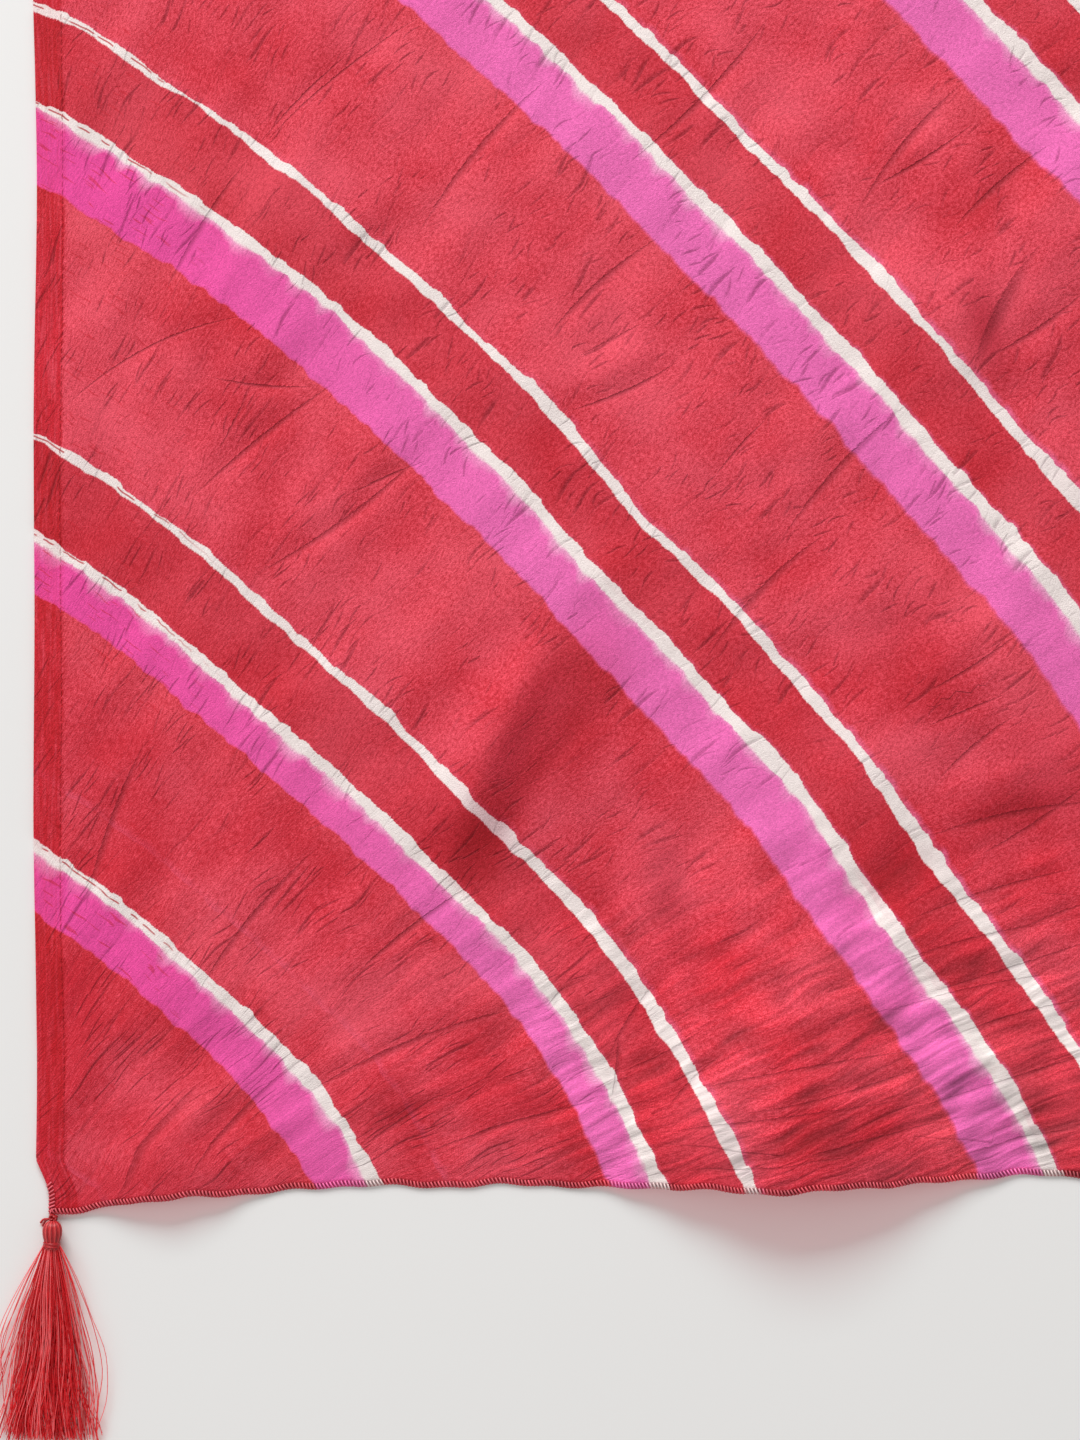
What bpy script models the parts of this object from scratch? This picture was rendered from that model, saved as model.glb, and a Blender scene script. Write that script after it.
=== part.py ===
# Leheriya dupatta stole, laid out flat: one thin cloth wall with both long edges turned under,
# and at each corner a silk tassel on a thread tie, with a wrapped band round its neck.
# Metres, +Z up. The cloth's long way runs along Y and its short way along X. Its underside rests on z = 0.

import math
import random

import bmesh
import bpy
from mathutils import Matrix, Vector

# The cloth, once its long edges are turned under
CLOTH_WIDTH = 0.900
CLOTH_LENGTH = 2.250
WALL = 0.0011
GAP = 0.0003

# The turned edge: a flap lies under the cloth all along each long side
TURNING = 0.011
TURNING_AT_CORNER = 0.0020
TURNING_FADE = 0.035
TURNING_SETTLE = 0.014
FOLD_ANGLES = (270, 215, 145, 90)

# The grid of the wall: its rows lie closer together at the two ends, and its columns a little closer at the sides
COLUMNS = 24
ROWS = 56
ROW_CROWDING = 0.85
COLUMN_CROWDING = 0.35

# Outline seen from above: each corner is pulled in by its tassel, and runs out past the end edge in two steps
CORNER_TUCK = 0.0054
CORNER_TUCK_FULL = 0.006
CORNER_TUCK_REACH = 0.020
CORNER_LIP = 0.0040
CORNER_LIP_FULL = 0.010
CORNER_LIP_REACH = 0.028
CORNER_DROP = 0.0060
CORNER_DROP_REACH = 0.135
OUTLINE_FADE = 0.120
SIDE_WAVE = 0.0009
SIDE_WAVE_LENGTHS = (0.270, 0.163)

# Where the lift of the folds starts from the flat, resting cloth
LIFT_START = 0.0018
LIFT_EASE = 0.0015

# The largest folds, one row for each: its middle (across from the left edge, along from the near end),
# its half length, half width and height, and the way it runs in degrees from the cloth's short way.
FOLDS = (
    # across, along, half_length, half_width, height, turn
    (0.275, 0.004, 0.084, 0.052, 0.0215, 76),
    (0.046, 0.000, 0.044, 0.028, 0.0100, 58),
    (0.175, 0.155, 0.050, 0.026, 0.0080, 62),
    (0.312, 0.165, 0.075, 0.032, 0.0070, 44),
    (0.355, 0.330, 0.080, 0.034, 0.0075, 40),
    (0.100, 0.345, 0.075, 0.034, 0.0055, 60),
    (0.480, 0.070, 0.080, 0.040, 0.0090, 38),
    (0.640, 0.000, 0.090, 0.050, 0.0150, 95),
    (0.835, 0.010, 0.060, 0.040, 0.0100, 120),
    (0.570, 0.250, 0.110, 0.044, 0.0110, 38),
    (0.790, 0.260, 0.100, 0.044, 0.0095, 52),
    (0.170, 0.560, 0.130, 0.055, 0.0090, 58),
    (0.430, 0.520, 0.140, 0.055, 0.0120, 44),
    (0.700, 0.560, 0.140, 0.058, 0.0105, 36),
    (0.890, 0.740, 0.120, 0.065, 0.0110, 80),
    (0.020, 0.860, 0.120, 0.065, 0.0105, 95),
    (0.290, 0.820, 0.160, 0.062, 0.0115, 50),
    (0.580, 0.880, 0.170, 0.065, 0.0135, 44),
    (0.160, 1.150, 0.160, 0.062, 0.0110, 42),
    (0.430, 1.310, 0.170, 0.062, 0.0125, 55),
    (0.760, 1.150, 0.160, 0.060, 0.0105, 38),
    (0.210, 1.510, 0.160, 0.062, 0.0115, 48),
    (0.600, 1.500, 0.170, 0.062, 0.0120, 40),
    (0.890, 1.420, 0.120, 0.065, 0.0100, 88),
    (0.015, 1.640, 0.110, 0.060, 0.0095, 84),
    (0.400, 1.790, 0.140, 0.055, 0.0115, 44),
    (0.690, 1.810, 0.130, 0.052, 0.0100, 52),
    (0.140, 1.930, 0.110, 0.044, 0.0095, 36),
    (0.860, 1.990, 0.090, 0.044, 0.0090, 62),
    (0.520, 2.030, 0.100, 0.042, 0.0100, 40),
    (0.150, 2.250, 0.080, 0.046, 0.0135, 84),
    (0.450, 2.252, 0.090, 0.050, 0.0160, 98),
    (0.750, 2.250, 0.080, 0.042, 0.0120, 76),
)

# The end edges' own waves seen from above: the end (0 near, 1 far), its middle, half width and how far it comes in
END_WAVES = (
    # end, across, half_width, inward
    (0, 0.360, 0.060, 0.0034),
    (0, 0.260, 0.050, -0.0006),
    (0, 0.640, 0.075, 0.0026),
    (0, 0.790, 0.050, -0.0018),
    (1, 0.150, 0.060, 0.0028),
    (1, 0.450, 0.080, 0.0032),
    (1, 0.620, 0.050, -0.0020),
    (1, 0.750, 0.060, 0.0024),
)

# The tassel, measured from the cloth's corner along its own length. Its axis starts a little in from the side edge.
TASSEL_INSET = 0.0016
TASSEL_LENGTH = 0.0820
HEAD_SIDES = 14
HEAD_PROFILE = (
    # from_corner, radius
    (0.0026, 0.0009),
    (0.0032, 0.0021),
    (0.0043, 0.0029),
    (0.0059, 0.0032),
    (0.0076, 0.0031),
    (0.0089, 0.0027),
    (0.0097, 0.0024),
    (0.0124, 0.0024),
    (0.0136, 0.0026),
)
HEAD_HEIGHT = 0.0037
BAND_FROM = 0.0099
BAND_TO = 0.0121
BAND_INNER = 0.0027
BAND_OUTER = 0.0032
BAND_ROUNDING = 0.0004
TIE_FROM = 0.00035
TIE_TO = 0.0023
TIE_HALF_WIDTH = 0.0017
TIE_HALF_HEIGHT = 0.0011
TIE_RISE = 0.0024

# The skirt of the tassel: locks of thread that leave the head and fan out on the floor
LOCKS = 42
LOCK_SIDES = 3
LOCK_STEPS = 4
LOCK_ROOT = 0.0122
LOCK_RADII = (0.00024, 0.00044, 0.00054)
SKIRT_NECK = 0.0021
SKIRT_HALF_WIDTH = 0.0150
SKIRT_HALF_HEIGHT = 0.0027
SKIRT_CLEARANCE = 0.0010
LOCK_SHORTER = 0.0050
LOCK_WANDER = 0.0005
GOLDEN_ANGLE = math.pi * (3 - math.sqrt(5))

# One row for each tassel: its corner, how far it leans from straight out, how wide it fans, and its seed
TASSELS = (
    # name, side, end, lean, fan, seed
    ("near_left", -1, -1, -2.2, 1.00, 3),
    ("near_right", 1, -1, 8.0, 0.86, 5),
    ("far_left", -1, 1, 6.0, 0.92, 8),
    ("far_right", 1, 1, -8.0, 1.06, 13),
)

DYED_RED = (0.58, 0.045, 0.065, 1.0)
THREAD_RED = (0.50, 0.020, 0.030, 1.0)


def clear_scene():
    for old in list(bpy.data.objects):
        bpy.data.objects.remove(old)


def material(name, colour, roughness, sheen):
    made = bpy.data.materials.new(name)
    made.use_nodes = True
    shader = made.node_tree.nodes["Principled BSDF"]
    shader.inputs["Base Color"].default_value = colour
    shader.inputs["Roughness"].default_value = roughness
    shader.inputs["Metallic"].default_value = 0.0
    shader.inputs["Sheen Weight"].default_value = sheen
    return made


def object_from(name, points, faces, finish):
    mesh = bpy.data.meshes.new(name)
    mesh.from_pydata([tuple(point) for point in points], [], faces)
    mesh.materials.append(finish)
    made = bpy.data.objects.new(name, mesh)
    bpy.context.scene.collection.objects.link(made)
    return made


def face_outwards(made):
    work = bmesh.new()
    work.from_mesh(made.data)
    bmesh.ops.recalc_face_normals(work, faces=work.faces)
    work.to_mesh(made.data)
    work.free()


def eased(share):
    """0 up to 0, 1 from 1 on, and a smooth rise between."""
    share = min(1.0, max(0.0, share))
    return share * share * (3 - 2 * share)


def faded(distance, full, reach):
    """1 as far as full, 0 from reach on, and a smooth fall between."""
    return 1 - eased((distance - full) / (reach - full))


def lift(across, along):
    """How high the folds hold the cloth off the floor at one place."""
    raw = 0.0
    for middle_across, middle_along, half_length, half_width, height, turn in FOLDS:
        angle = math.radians(turn)
        away = (across - middle_across, along - middle_along)
        lengthwise = (away[0] * math.cos(angle) + away[1] * math.sin(angle)) / half_length
        sideways = (away[1] * math.cos(angle) - away[0] * math.sin(angle)) / half_width
        raw += height * math.exp(-lengthwise * lengthwise - sideways * sideways)
    above = max(0.0, raw - LIFT_START)
    return above * above / (above + LIFT_EASE)


def to_nearest_end(along):
    return min(along, CLOTH_LENGTH - along)


def side_inset(along, side):
    """How far a turned edge stands in from its straight line."""
    tuck = CORNER_TUCK * faded(to_nearest_end(along), CORNER_TUCK_FULL, CORNER_TUCK_REACH)
    first, second = SIDE_WAVE_LENGTHS
    wave = math.sin(math.tau * along / first + side) + math.sin(math.tau * along / second + 2 * side)
    return tuck + SIDE_WAVE * wave / 2


def end_inset(across, end):
    """How far an end edge stands in from its straight line. It runs out past it at both corners."""
    to_corner = min(across, CLOTH_WIDTH - across)
    inset = -CORNER_LIP * faded(to_corner, CORNER_LIP_FULL, CORNER_LIP_REACH)
    inset -= CORNER_DROP * faded(to_corner, 0.0, CORNER_DROP_REACH)
    for wave_end, middle, half_width, inward in END_WAVES:
        if wave_end == end:
            inset += inward * math.exp(-(((across - middle) / half_width) ** 2))
    return inset


def plan(across, along):
    """The place, seen from above, of the point that lies across and along the cloth once laid out."""
    left = side_inset(along, 0) * faded(across, 0.0, OUTLINE_FADE)
    right = side_inset(along, 1) * faded(CLOTH_WIDTH - across, 0.0, OUTLINE_FADE)
    near = end_inset(across, 0) * faded(along, 0.0, OUTLINE_FADE)
    far = end_inset(across, 1) * faded(CLOTH_LENGTH - along, 0.0, OUTLINE_FADE)
    return (across - CLOTH_WIDTH / 2 + left - right, along - CLOTH_LENGTH / 2 + near - far)


def crowded(share, crowding):
    """Spreads even shares so that they lie closer together at both ends."""
    return share - crowding * math.sin(math.tau * share) / math.tau


def section_line(along):
    """The middle of the wall across the cloth, as (across, height) points from one flap's cut edge to the other's."""
    flap = TURNING_AT_CORNER + (TURNING - TURNING_AT_CORNER) * eased(to_nearest_end(along) / TURNING_FADE)
    step = WALL + GAP
    outer_radius = step / 2 + WALL / 2
    fold = [
        (outer_radius + step / 2 * math.cos(math.radians(a)), outer_radius + step / 2 * math.sin(math.radians(a)))
        for a in FOLD_ANGLES
    ]
    side = [(outer_radius + flap, WALL / 2), *fold]
    inner = TURNING + TURNING_SETTLE
    for across in (TURNING + WALL, inner):
        raised = step * (1 - eased((across - flap) / TURNING_SETTLE))
        side.append((across, WALL / 2 + raised))
    span = CLOTH_WIDTH - 2 * inner
    middle = [(inner + span * crowded(i / COLUMNS, COLUMN_CROWDING), WALL / 2) for i in range(1, COLUMNS)]
    other_side = [(CLOTH_WIDTH - across, height) for across, height in reversed(side)]
    return side + middle + other_side


def wall_ring(along):
    """The closed outline of the wall at one section: its outer points, then its inner ones on the way back."""
    line = section_line(along)
    outer, inner = [], []
    for i, (across, height) in enumerate(line):
        before = line[max(i - 1, 0)]
        after = line[min(i + 1, len(line) - 1)]
        way = Vector((after[0] - before[0], after[1] - before[1])).normalized()
        normal = Vector((-way.y, way.x)) * (WALL / 2)
        for ring, sign in ((outer, 1), (inner, -1)):
            here = across + sign * normal.x
            x, y = plan(here, along)
            ring.append((x, y, height + sign * normal.y + lift(here, along)))
    return outer, inner


def diagonal_runs_forward(points, here, size):
    """Which diagonal of one cell follows a ridge rather than crossing it: the one whose middle lies higher."""
    forward = points[here][2] + points[here + 1 + size][2]
    backward = points[here + 1][2] + points[here + size][2]
    return forward >= backward


def two_triangles(here, beside, size, forward):
    """One cell of the wall as two triangles. Both sides of the wall take the same diagonal, so they never cross."""
    if forward:
        return [(here, beside, beside + size), (here, beside + size, here + size)]
    return [(here, beside, here + size), (beside, beside + size, here + size)]


def make_cloth(finish):
    rows = [CLOTH_LENGTH * crowded(i / ROWS, ROW_CROWDING) for i in range(ROWS + 1)]
    rings = [wall_ring(along) for along in rows]
    count = len(rings[0][0])
    points, faces = [], []
    for outer, inner in rings:
        points += outer + inner[::-1]
    size = 2 * count
    for row in range(ROWS):
        for i in range(count - 1):
            above = row * size + i
            forward = diagonal_runs_forward(points, above, size)
            faces += two_triangles(above, above + 1, size, forward)
            below = row * size + size - 1 - i
            faces += two_triangles(below, below - 1, size, forward)
        for i in (count - 1, size - 1):
            here = row * size + i
            beside = row * size + (i + 1) % size
            faces.append((here, beside, beside + size, here + size))
    for row in (0, ROWS):
        first = row * size
        for i in range(count - 1):
            under = size - 1 - i
            faces.append((first + i, first + i + 1, first + under - 1, first + under))
    cloth = object_from("cloth", points, faces, finish)
    face_outwards(cloth)
    cloth.data.shade_smooth()
    return cloth


def corner_point(side, end):
    """Where a tassel's axis starts on the end edge, and how high the folds hold the cloth there."""
    across = CLOTH_WIDTH / 2 * (1 + side) - side * TASSEL_INSET
    along = CLOTH_LENGTH / 2 * (1 + end)
    x, y = plan(across, along)
    return Vector((x, y, lift(across, along)))


def turned(name, profile, sides, finish):
    """A closed solid turned round the tassel's own axis, which is its local Y."""
    points, faces = [], []
    for from_corner, radius in profile:
        for i in range(sides):
            angle = math.tau * i / sides
            points.append((radius * math.cos(angle), from_corner, radius * math.sin(angle)))
    for ring in range(len(profile) - 1):
        for i in range(sides):
            here = ring * sides + i
            beside = ring * sides + (i + 1) % sides
            faces.append((here, beside, beside + sides, here + sides))
    faces.append(tuple(range(sides)))
    faces.append(tuple(range((len(profile) - 1) * sides, len(profile) * sides)))
    made = object_from(name, points, faces, finish)
    face_outwards(made)
    return made


def lock_path(number, fan, chance):
    """The line of one lock, from inside the head to its tip, as (sideways, outwards, up) points."""
    rim = math.sqrt((number + 0.5) / LOCKS)
    turn = number * GOLDEN_ANGLE
    tip = TASSEL_LENGTH - LOCK_SHORTER * chance.random()
    drift = LOCK_WANDER * (2 * chance.random() - 1)
    line = []
    for step in range(LOCK_STEPS + 1):
        share = step / LOCK_STEPS
        outwards = LOCK_ROOT + (tip - LOCK_ROOT) * share
        half_width = SKIRT_NECK + (SKIRT_HALF_WIDTH * fan - SKIRT_NECK) * share
        half_height = SKIRT_NECK + (SKIRT_HALF_HEIGHT - SKIRT_NECK) * math.sin(math.pi / 2 * share)
        middle = HEAD_HEIGHT + (SKIRT_CLEARANCE + SKIRT_HALF_HEIGHT - HEAD_HEIGHT) * eased(2 * share)
        sideways = half_width * rim * math.cos(turn) + drift * share * share
        up = middle + half_height * rim * math.sin(turn)
        line.append(Vector((sideways, outwards, up - HEAD_HEIGHT)))
    return line


def lock_radius(share):
    root, body, tip = LOCK_RADII
    if share < 0.5:
        return root + (body - root) * share * 2
    return body + (tip - body) * (share * 2 - 1)


def make_locks(name, fan, seed):
    """All the locks of one tassel as one helper mesh, which the head is joined with."""
    chance = random.Random(seed)
    points, faces = [], []
    for number in range(LOCKS):
        first = len(points)
        start_angle = math.tau * chance.random()
        for step, middle in enumerate(lock_path(number, fan, chance)):
            radius = lock_radius(step / LOCK_STEPS)
            for i in range(LOCK_SIDES):
                angle = start_angle + math.tau * i / LOCK_SIDES
                points.append(middle + Vector((radius * math.cos(angle), 0, radius * math.sin(angle))))
        for step in range(LOCK_STEPS):
            for i in range(LOCK_SIDES):
                here = first + step * LOCK_SIDES + i
                beside = first + step * LOCK_SIDES + (i + 1) % LOCK_SIDES
                faces.append((here, beside, beside + LOCK_SIDES, here + LOCK_SIDES))
        last = first + LOCK_STEPS * LOCK_SIDES
        faces.append(tuple(first + i for i in range(LOCK_SIDES)))
        faces.append(tuple(last + i for i in range(LOCK_SIDES)))
    locks = object_from(name, points, faces, None)
    face_outwards(locks)
    locks.hide_render = True
    locks.display_type = "WIRE"
    return locks


def make_band(name, finish):
    """The thread wrapped round the tassel's neck, as a ring with rounded edges."""
    outline = (
        (BAND_FROM, BAND_INNER),
        (BAND_FROM, BAND_OUTER - BAND_ROUNDING),
        (BAND_FROM + BAND_ROUNDING, BAND_OUTER),
        (BAND_TO - BAND_ROUNDING, BAND_OUTER),
        (BAND_TO, BAND_OUTER - BAND_ROUNDING),
        (BAND_TO, BAND_INNER),
    )
    points, faces = [], []
    for i in range(HEAD_SIDES):
        angle = math.tau * i / HEAD_SIDES
        for from_corner, radius in outline:
            points.append((radius * math.cos(angle), from_corner, radius * math.sin(angle)))
    count = len(outline)
    for i in range(HEAD_SIDES):
        for j in range(count):
            here = i * count + j
            beside = i * count + (j + 1) % count
            next_row = ((i + 1) % HEAD_SIDES) * count
            faces.append((here, beside, next_row + (j + 1) % count, next_row + j))
    band = object_from(name, points, faces, finish)
    face_outwards(band)
    return band


def make_tie(name, rise, finish):
    """The knot of thread that sews the tassel to the corner."""
    work = bmesh.new()
    bmesh.ops.create_icosphere(work, subdivisions=2, radius=1.0)
    half_length = (TIE_TO - TIE_FROM) / 2
    size = Matrix.Diagonal((TIE_HALF_WIDTH, half_length, TIE_HALF_HEIGHT, 1.0))
    place = Matrix.Translation((0.0, TIE_FROM + half_length, rise - HEAD_HEIGHT))
    bmesh.ops.transform(work, matrix=place @ size, verts=work.verts)
    mesh = bpy.data.meshes.new(name)
    work.to_mesh(mesh)
    work.free()
    mesh.materials.append(finish)
    tie = bpy.data.objects.new(name, mesh)
    bpy.context.scene.collection.objects.link(tie)
    return tie


def make_tassel(name, side, end, lean, fan, seed, finish):
    corner = corner_point(side, end)
    holder = bpy.data.objects.new(f"corner_{name}", None)
    bpy.context.scene.collection.objects.link(holder)
    holder.location = (corner.x, corner.y, HEAD_HEIGHT)
    straight_out = 0.0 if end > 0 else math.pi
    holder.rotation_euler = (0.0, 0.0, straight_out - end * math.radians(lean))
    tassel = turned(f"tassel_{name}", HEAD_PROFILE, HEAD_SIDES, finish)
    locks = make_locks(f"locks_{name}", fan, seed)
    join = tassel.modifiers.new("locks", "BOOLEAN")
    join.operation = "UNION"
    join.object = locks
    join.use_self = True
    band = make_band(f"band_{name}", finish)
    tie = make_tie(f"tie_{name}", TIE_RISE + corner.z, finish)
    for piece in (tassel, locks, band, tie):
        piece.parent = holder
    for piece in (tassel, band, tie):
        piece.data.shade_smooth()


def stand_on_origin():
    """Moves the whole part so that the origin lies under the middle of its box."""
    bpy.context.view_layer.update()
    shapes = [shape for shape in bpy.data.objects if shape.type == "MESH"]
    points = [shape.matrix_world @ vertex.co for shape in shapes for vertex in shape.data.vertices]
    middle = [(min(p[axis] for p in points) + max(p[axis] for p in points)) / 2 for axis in range(2)]
    for shape in bpy.data.objects:
        if shape.parent is None:
            shape.location -= Vector((middle[0], middle[1], 0.0))


def main():
    clear_scene()
    dyed_cloth = material("dyed_cloth", DYED_RED, 0.62, 0.3)
    silk_thread = material("silk_thread", THREAD_RED, 0.38, 0.2)
    make_cloth(dyed_cloth)
    for name, side, end, lean, fan, seed in TASSELS:
        make_tassel(name, side, end, lean, fan, seed, silk_thread)
    stand_on_origin()


main()
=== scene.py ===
# %% [markdown]
# # A leheriya dupatta stole, laid out flat
# A dupatta is a long light stole. This one is crinkled silk-like crepe, dyed by tying: the cloth is
# rolled up on the slant, bound with thread and dipped, so the bound places stay white and run over it as
# long curved lines. The solids are already made and packed. This lesson loads them as a fixed frame, in
# metres, and dresses them.

import math
import random

import bmesh
import bpy
import numpy as np
from mathutils import Matrix, Vector, noise


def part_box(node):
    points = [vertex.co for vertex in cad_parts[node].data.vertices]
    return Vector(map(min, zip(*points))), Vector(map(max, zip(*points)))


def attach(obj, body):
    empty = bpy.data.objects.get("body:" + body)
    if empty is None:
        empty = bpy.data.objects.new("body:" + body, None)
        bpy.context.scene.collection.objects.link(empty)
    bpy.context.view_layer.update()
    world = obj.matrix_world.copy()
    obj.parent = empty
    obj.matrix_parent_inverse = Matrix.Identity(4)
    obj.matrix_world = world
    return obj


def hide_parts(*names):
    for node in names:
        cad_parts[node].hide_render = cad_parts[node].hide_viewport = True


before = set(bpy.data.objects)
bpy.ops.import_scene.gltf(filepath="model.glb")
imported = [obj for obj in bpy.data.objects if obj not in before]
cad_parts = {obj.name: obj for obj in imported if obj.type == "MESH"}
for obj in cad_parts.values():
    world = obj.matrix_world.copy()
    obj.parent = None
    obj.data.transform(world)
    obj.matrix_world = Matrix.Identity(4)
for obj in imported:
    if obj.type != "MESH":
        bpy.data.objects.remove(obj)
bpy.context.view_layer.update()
print("Loaded", len(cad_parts), "solids:", ", ".join(sorted(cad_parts)))

# %% [markdown]
# ## The plan of the cloth
# Every place on the cloth is named by two lengths: how far it lies across from the left edge, and how far
# along from the near end. The same plan gave the solids their outline, so it is repeated here with the
# same named sizes. It works on whole arrays of places at once, which is quick, and keeps each rule on one
# line.

# %% Sizes that the cloth shares with its solid
MM = 0.001
CLOTH_WIDTH = 0.900
CLOTH_LENGTH = 2.250
TURNING = 0.011
TURNING_AT_CORNER = 0.0020
TURNING_FADE = 0.035
TURNING_SETTLE = 0.014
CORNER_TUCK = 0.0054
CORNER_LIP = 0.0040
CORNER_DROP = 0.0060
OUTLINE_FADE = 0.120
SIDE_WAVE = 0.0009
SIDE_WAVE_LENGTHS = (0.270, 0.163)
LIFT_START = 0.0018
LIFT_EASE = 0.0015

FOLDS = (
    # across, along, half_length, half_width, height, turn
    (0.275, 0.004, 0.084, 0.052, 0.0215, 76),
    (0.046, 0.000, 0.044, 0.028, 0.0100, 58),
    (0.175, 0.155, 0.050, 0.026, 0.0080, 62),
    (0.312, 0.165, 0.075, 0.032, 0.0070, 44),
    (0.355, 0.330, 0.080, 0.034, 0.0075, 40),
    (0.100, 0.345, 0.075, 0.034, 0.0055, 60),
    (0.480, 0.070, 0.080, 0.040, 0.0090, 38),
    (0.640, 0.000, 0.090, 0.050, 0.0150, 95),
    (0.835, 0.010, 0.060, 0.040, 0.0100, 120),
    (0.570, 0.250, 0.110, 0.044, 0.0110, 38),
    (0.790, 0.260, 0.100, 0.044, 0.0095, 52),
    (0.170, 0.560, 0.130, 0.055, 0.0090, 58),
    (0.430, 0.520, 0.140, 0.055, 0.0120, 44),
    (0.700, 0.560, 0.140, 0.058, 0.0105, 36),
    (0.890, 0.740, 0.120, 0.065, 0.0110, 80),
    (0.020, 0.860, 0.120, 0.065, 0.0105, 95),
    (0.290, 0.820, 0.160, 0.062, 0.0115, 50),
    (0.580, 0.880, 0.170, 0.065, 0.0135, 44),
    (0.160, 1.150, 0.160, 0.062, 0.0110, 42),
    (0.430, 1.310, 0.170, 0.062, 0.0125, 55),
    (0.760, 1.150, 0.160, 0.060, 0.0105, 38),
    (0.210, 1.510, 0.160, 0.062, 0.0115, 48),
    (0.600, 1.500, 0.170, 0.062, 0.0120, 40),
    (0.890, 1.420, 0.120, 0.065, 0.0100, 88),
    (0.015, 1.640, 0.110, 0.060, 0.0095, 84),
    (0.400, 1.790, 0.140, 0.055, 0.0115, 44),
    (0.690, 1.810, 0.130, 0.052, 0.0100, 52),
    (0.140, 1.930, 0.110, 0.044, 0.0095, 36),
    (0.860, 1.990, 0.090, 0.044, 0.0090, 62),
    (0.520, 2.030, 0.100, 0.042, 0.0100, 40),
    (0.150, 2.250, 0.080, 0.046, 0.0135, 84),
    (0.450, 2.252, 0.090, 0.050, 0.0160, 98),
    (0.750, 2.250, 0.080, 0.042, 0.0120, 76),
)
END_WAVES = (
    # end, across, half_width, inward
    (0, 0.360, 0.060, 0.0034),
    (0, 0.260, 0.050, -0.0006),
    (0, 0.640, 0.075, 0.0026),
    (0, 0.790, 0.050, -0.0018),
    (1, 0.150, 0.060, 0.0028),
    (1, 0.450, 0.080, 0.0032),
    (1, 0.620, 0.050, -0.0020),
    (1, 0.750, 0.060, 0.0024),
)
print("The cloth is", CLOTH_WIDTH, "by", CLOTH_LENGTH, "m, and", len(FOLDS), "folds hold it off the floor")


# %% The plan and the lift, for whole arrays of places
def eased(share):
    """0 up to 0, 1 from 1 on, and a smooth rise between."""
    share = np.clip(share, 0.0, 1.0)
    return share * share * (3 - 2 * share)


def faded(distance, full, reach):
    """1 as far as full, 0 from reach on."""
    return 1 - eased((distance - full) / (reach - full))


def turned(right, up, turn):
    """The parts of a step along and across a direction, which is given in degrees."""
    angle = math.radians(turn)
    return right * math.cos(angle) + up * math.sin(angle), up * math.cos(angle) - right * math.sin(angle)


def lift(across, along):
    raw = 0.0
    for middle_across, middle_along, half_length, half_width, height, turn in FOLDS:
        lengthwise, sideways = turned(across - middle_across, along - middle_along, turn)
        raw = raw + height * np.exp(-((lengthwise / half_length) ** 2) - (sideways / half_width) ** 2)
    above = np.maximum(0.0, raw - LIFT_START)
    return above * above / (above + LIFT_EASE)


def to_nearest_end(along):
    return np.minimum(along, CLOTH_LENGTH - along)


def side_inset(along, side):
    tuck = CORNER_TUCK * faded(to_nearest_end(along), 0.006, 0.020)
    long, short = SIDE_WAVE_LENGTHS
    wave = np.sin(math.tau * along / long + side) + np.sin(math.tau * along / short + 2 * side)
    return tuck + SIDE_WAVE * wave / 2


def end_inset(across, end):
    to_corner = np.minimum(across, CLOTH_WIDTH - across)
    inset = -CORNER_LIP * faded(to_corner, 0.010, 0.028) - CORNER_DROP * faded(to_corner, 0.0, 0.135)
    for wave_end, middle, half_width, inward in END_WAVES:
        if wave_end == end:
            inset = inset + inward * np.exp(-(((across - middle) / half_width) ** 2))
    return inset


def unshifted_plan(across, along):
    left = side_inset(along, 0) * faded(across, 0.0, OUTLINE_FADE)
    right = side_inset(along, 1) * faded(CLOTH_WIDTH - across, 0.0, OUTLINE_FADE)
    near = end_inset(across, 0) * faded(along, 0.0, OUTLINE_FADE)
    far = end_inset(across, 1) * faded(CLOTH_LENGTH - along, 0.0, OUTLINE_FADE)
    return across - CLOTH_WIDTH / 2 + left - right, along - CLOTH_LENGTH / 2 + near - far


print("The left corner is tucked in by", CORNER_TUCK / MM, "mm")

# %% [markdown]
# ## Where the solids stand
# The solids were moved as one so that the origin lies under their middle. The wrapped band of a tassel is
# a plain ring whose place on the plan is known, so the middle of its solid tells how far everything was
# moved.

# %% Find how far the solids were moved
TASSEL_INSET = 0.0016
HEAD_HEIGHT = 0.0037
BAND_FROM = 0.0099
BAND_TO = 0.0121
TASSELS = (
    # name, side, end, lean, fan, seed
    ("near_left", -1, -1, -2.2, 1.00, 3),
    ("near_right", 1, -1, 8.0, 0.86, 5),
    ("far_left", -1, 1, 6.0, 0.92, 8),
    ("far_right", 1, 1, -8.0, 1.06, 13),
)


def tassel_place(side, end, lean, moved=Vector((0, 0, 0))):
    """A tassel's own frame: its origin is on the cloth's corner, and its Y runs out along the tassel."""
    across = CLOTH_WIDTH / 2 * (1 + side) - side * TASSEL_INSET
    x, y = unshifted_plan(np.float64(across), np.float64(CLOTH_LENGTH / 2 * (1 + end)))
    straight_out = 0.0 if end > 0 else math.pi
    turn = Matrix.Rotation(straight_out - end * math.radians(lean), 4, "Z")
    return Matrix.Translation(Vector((x, y, HEAD_HEIGHT)) + moved) @ turn


def band_shift():
    low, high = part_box("band_near_left")
    name, side, end, lean, fan, seed = TASSELS[0]
    planned = tassel_place(side, end, lean) @ Vector((0, (BAND_FROM + BAND_TO) / 2, 0))
    return Vector(((low.x + high.x) / 2 - planned.x, (low.y + high.y) / 2 - planned.y, 0.0))


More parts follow.
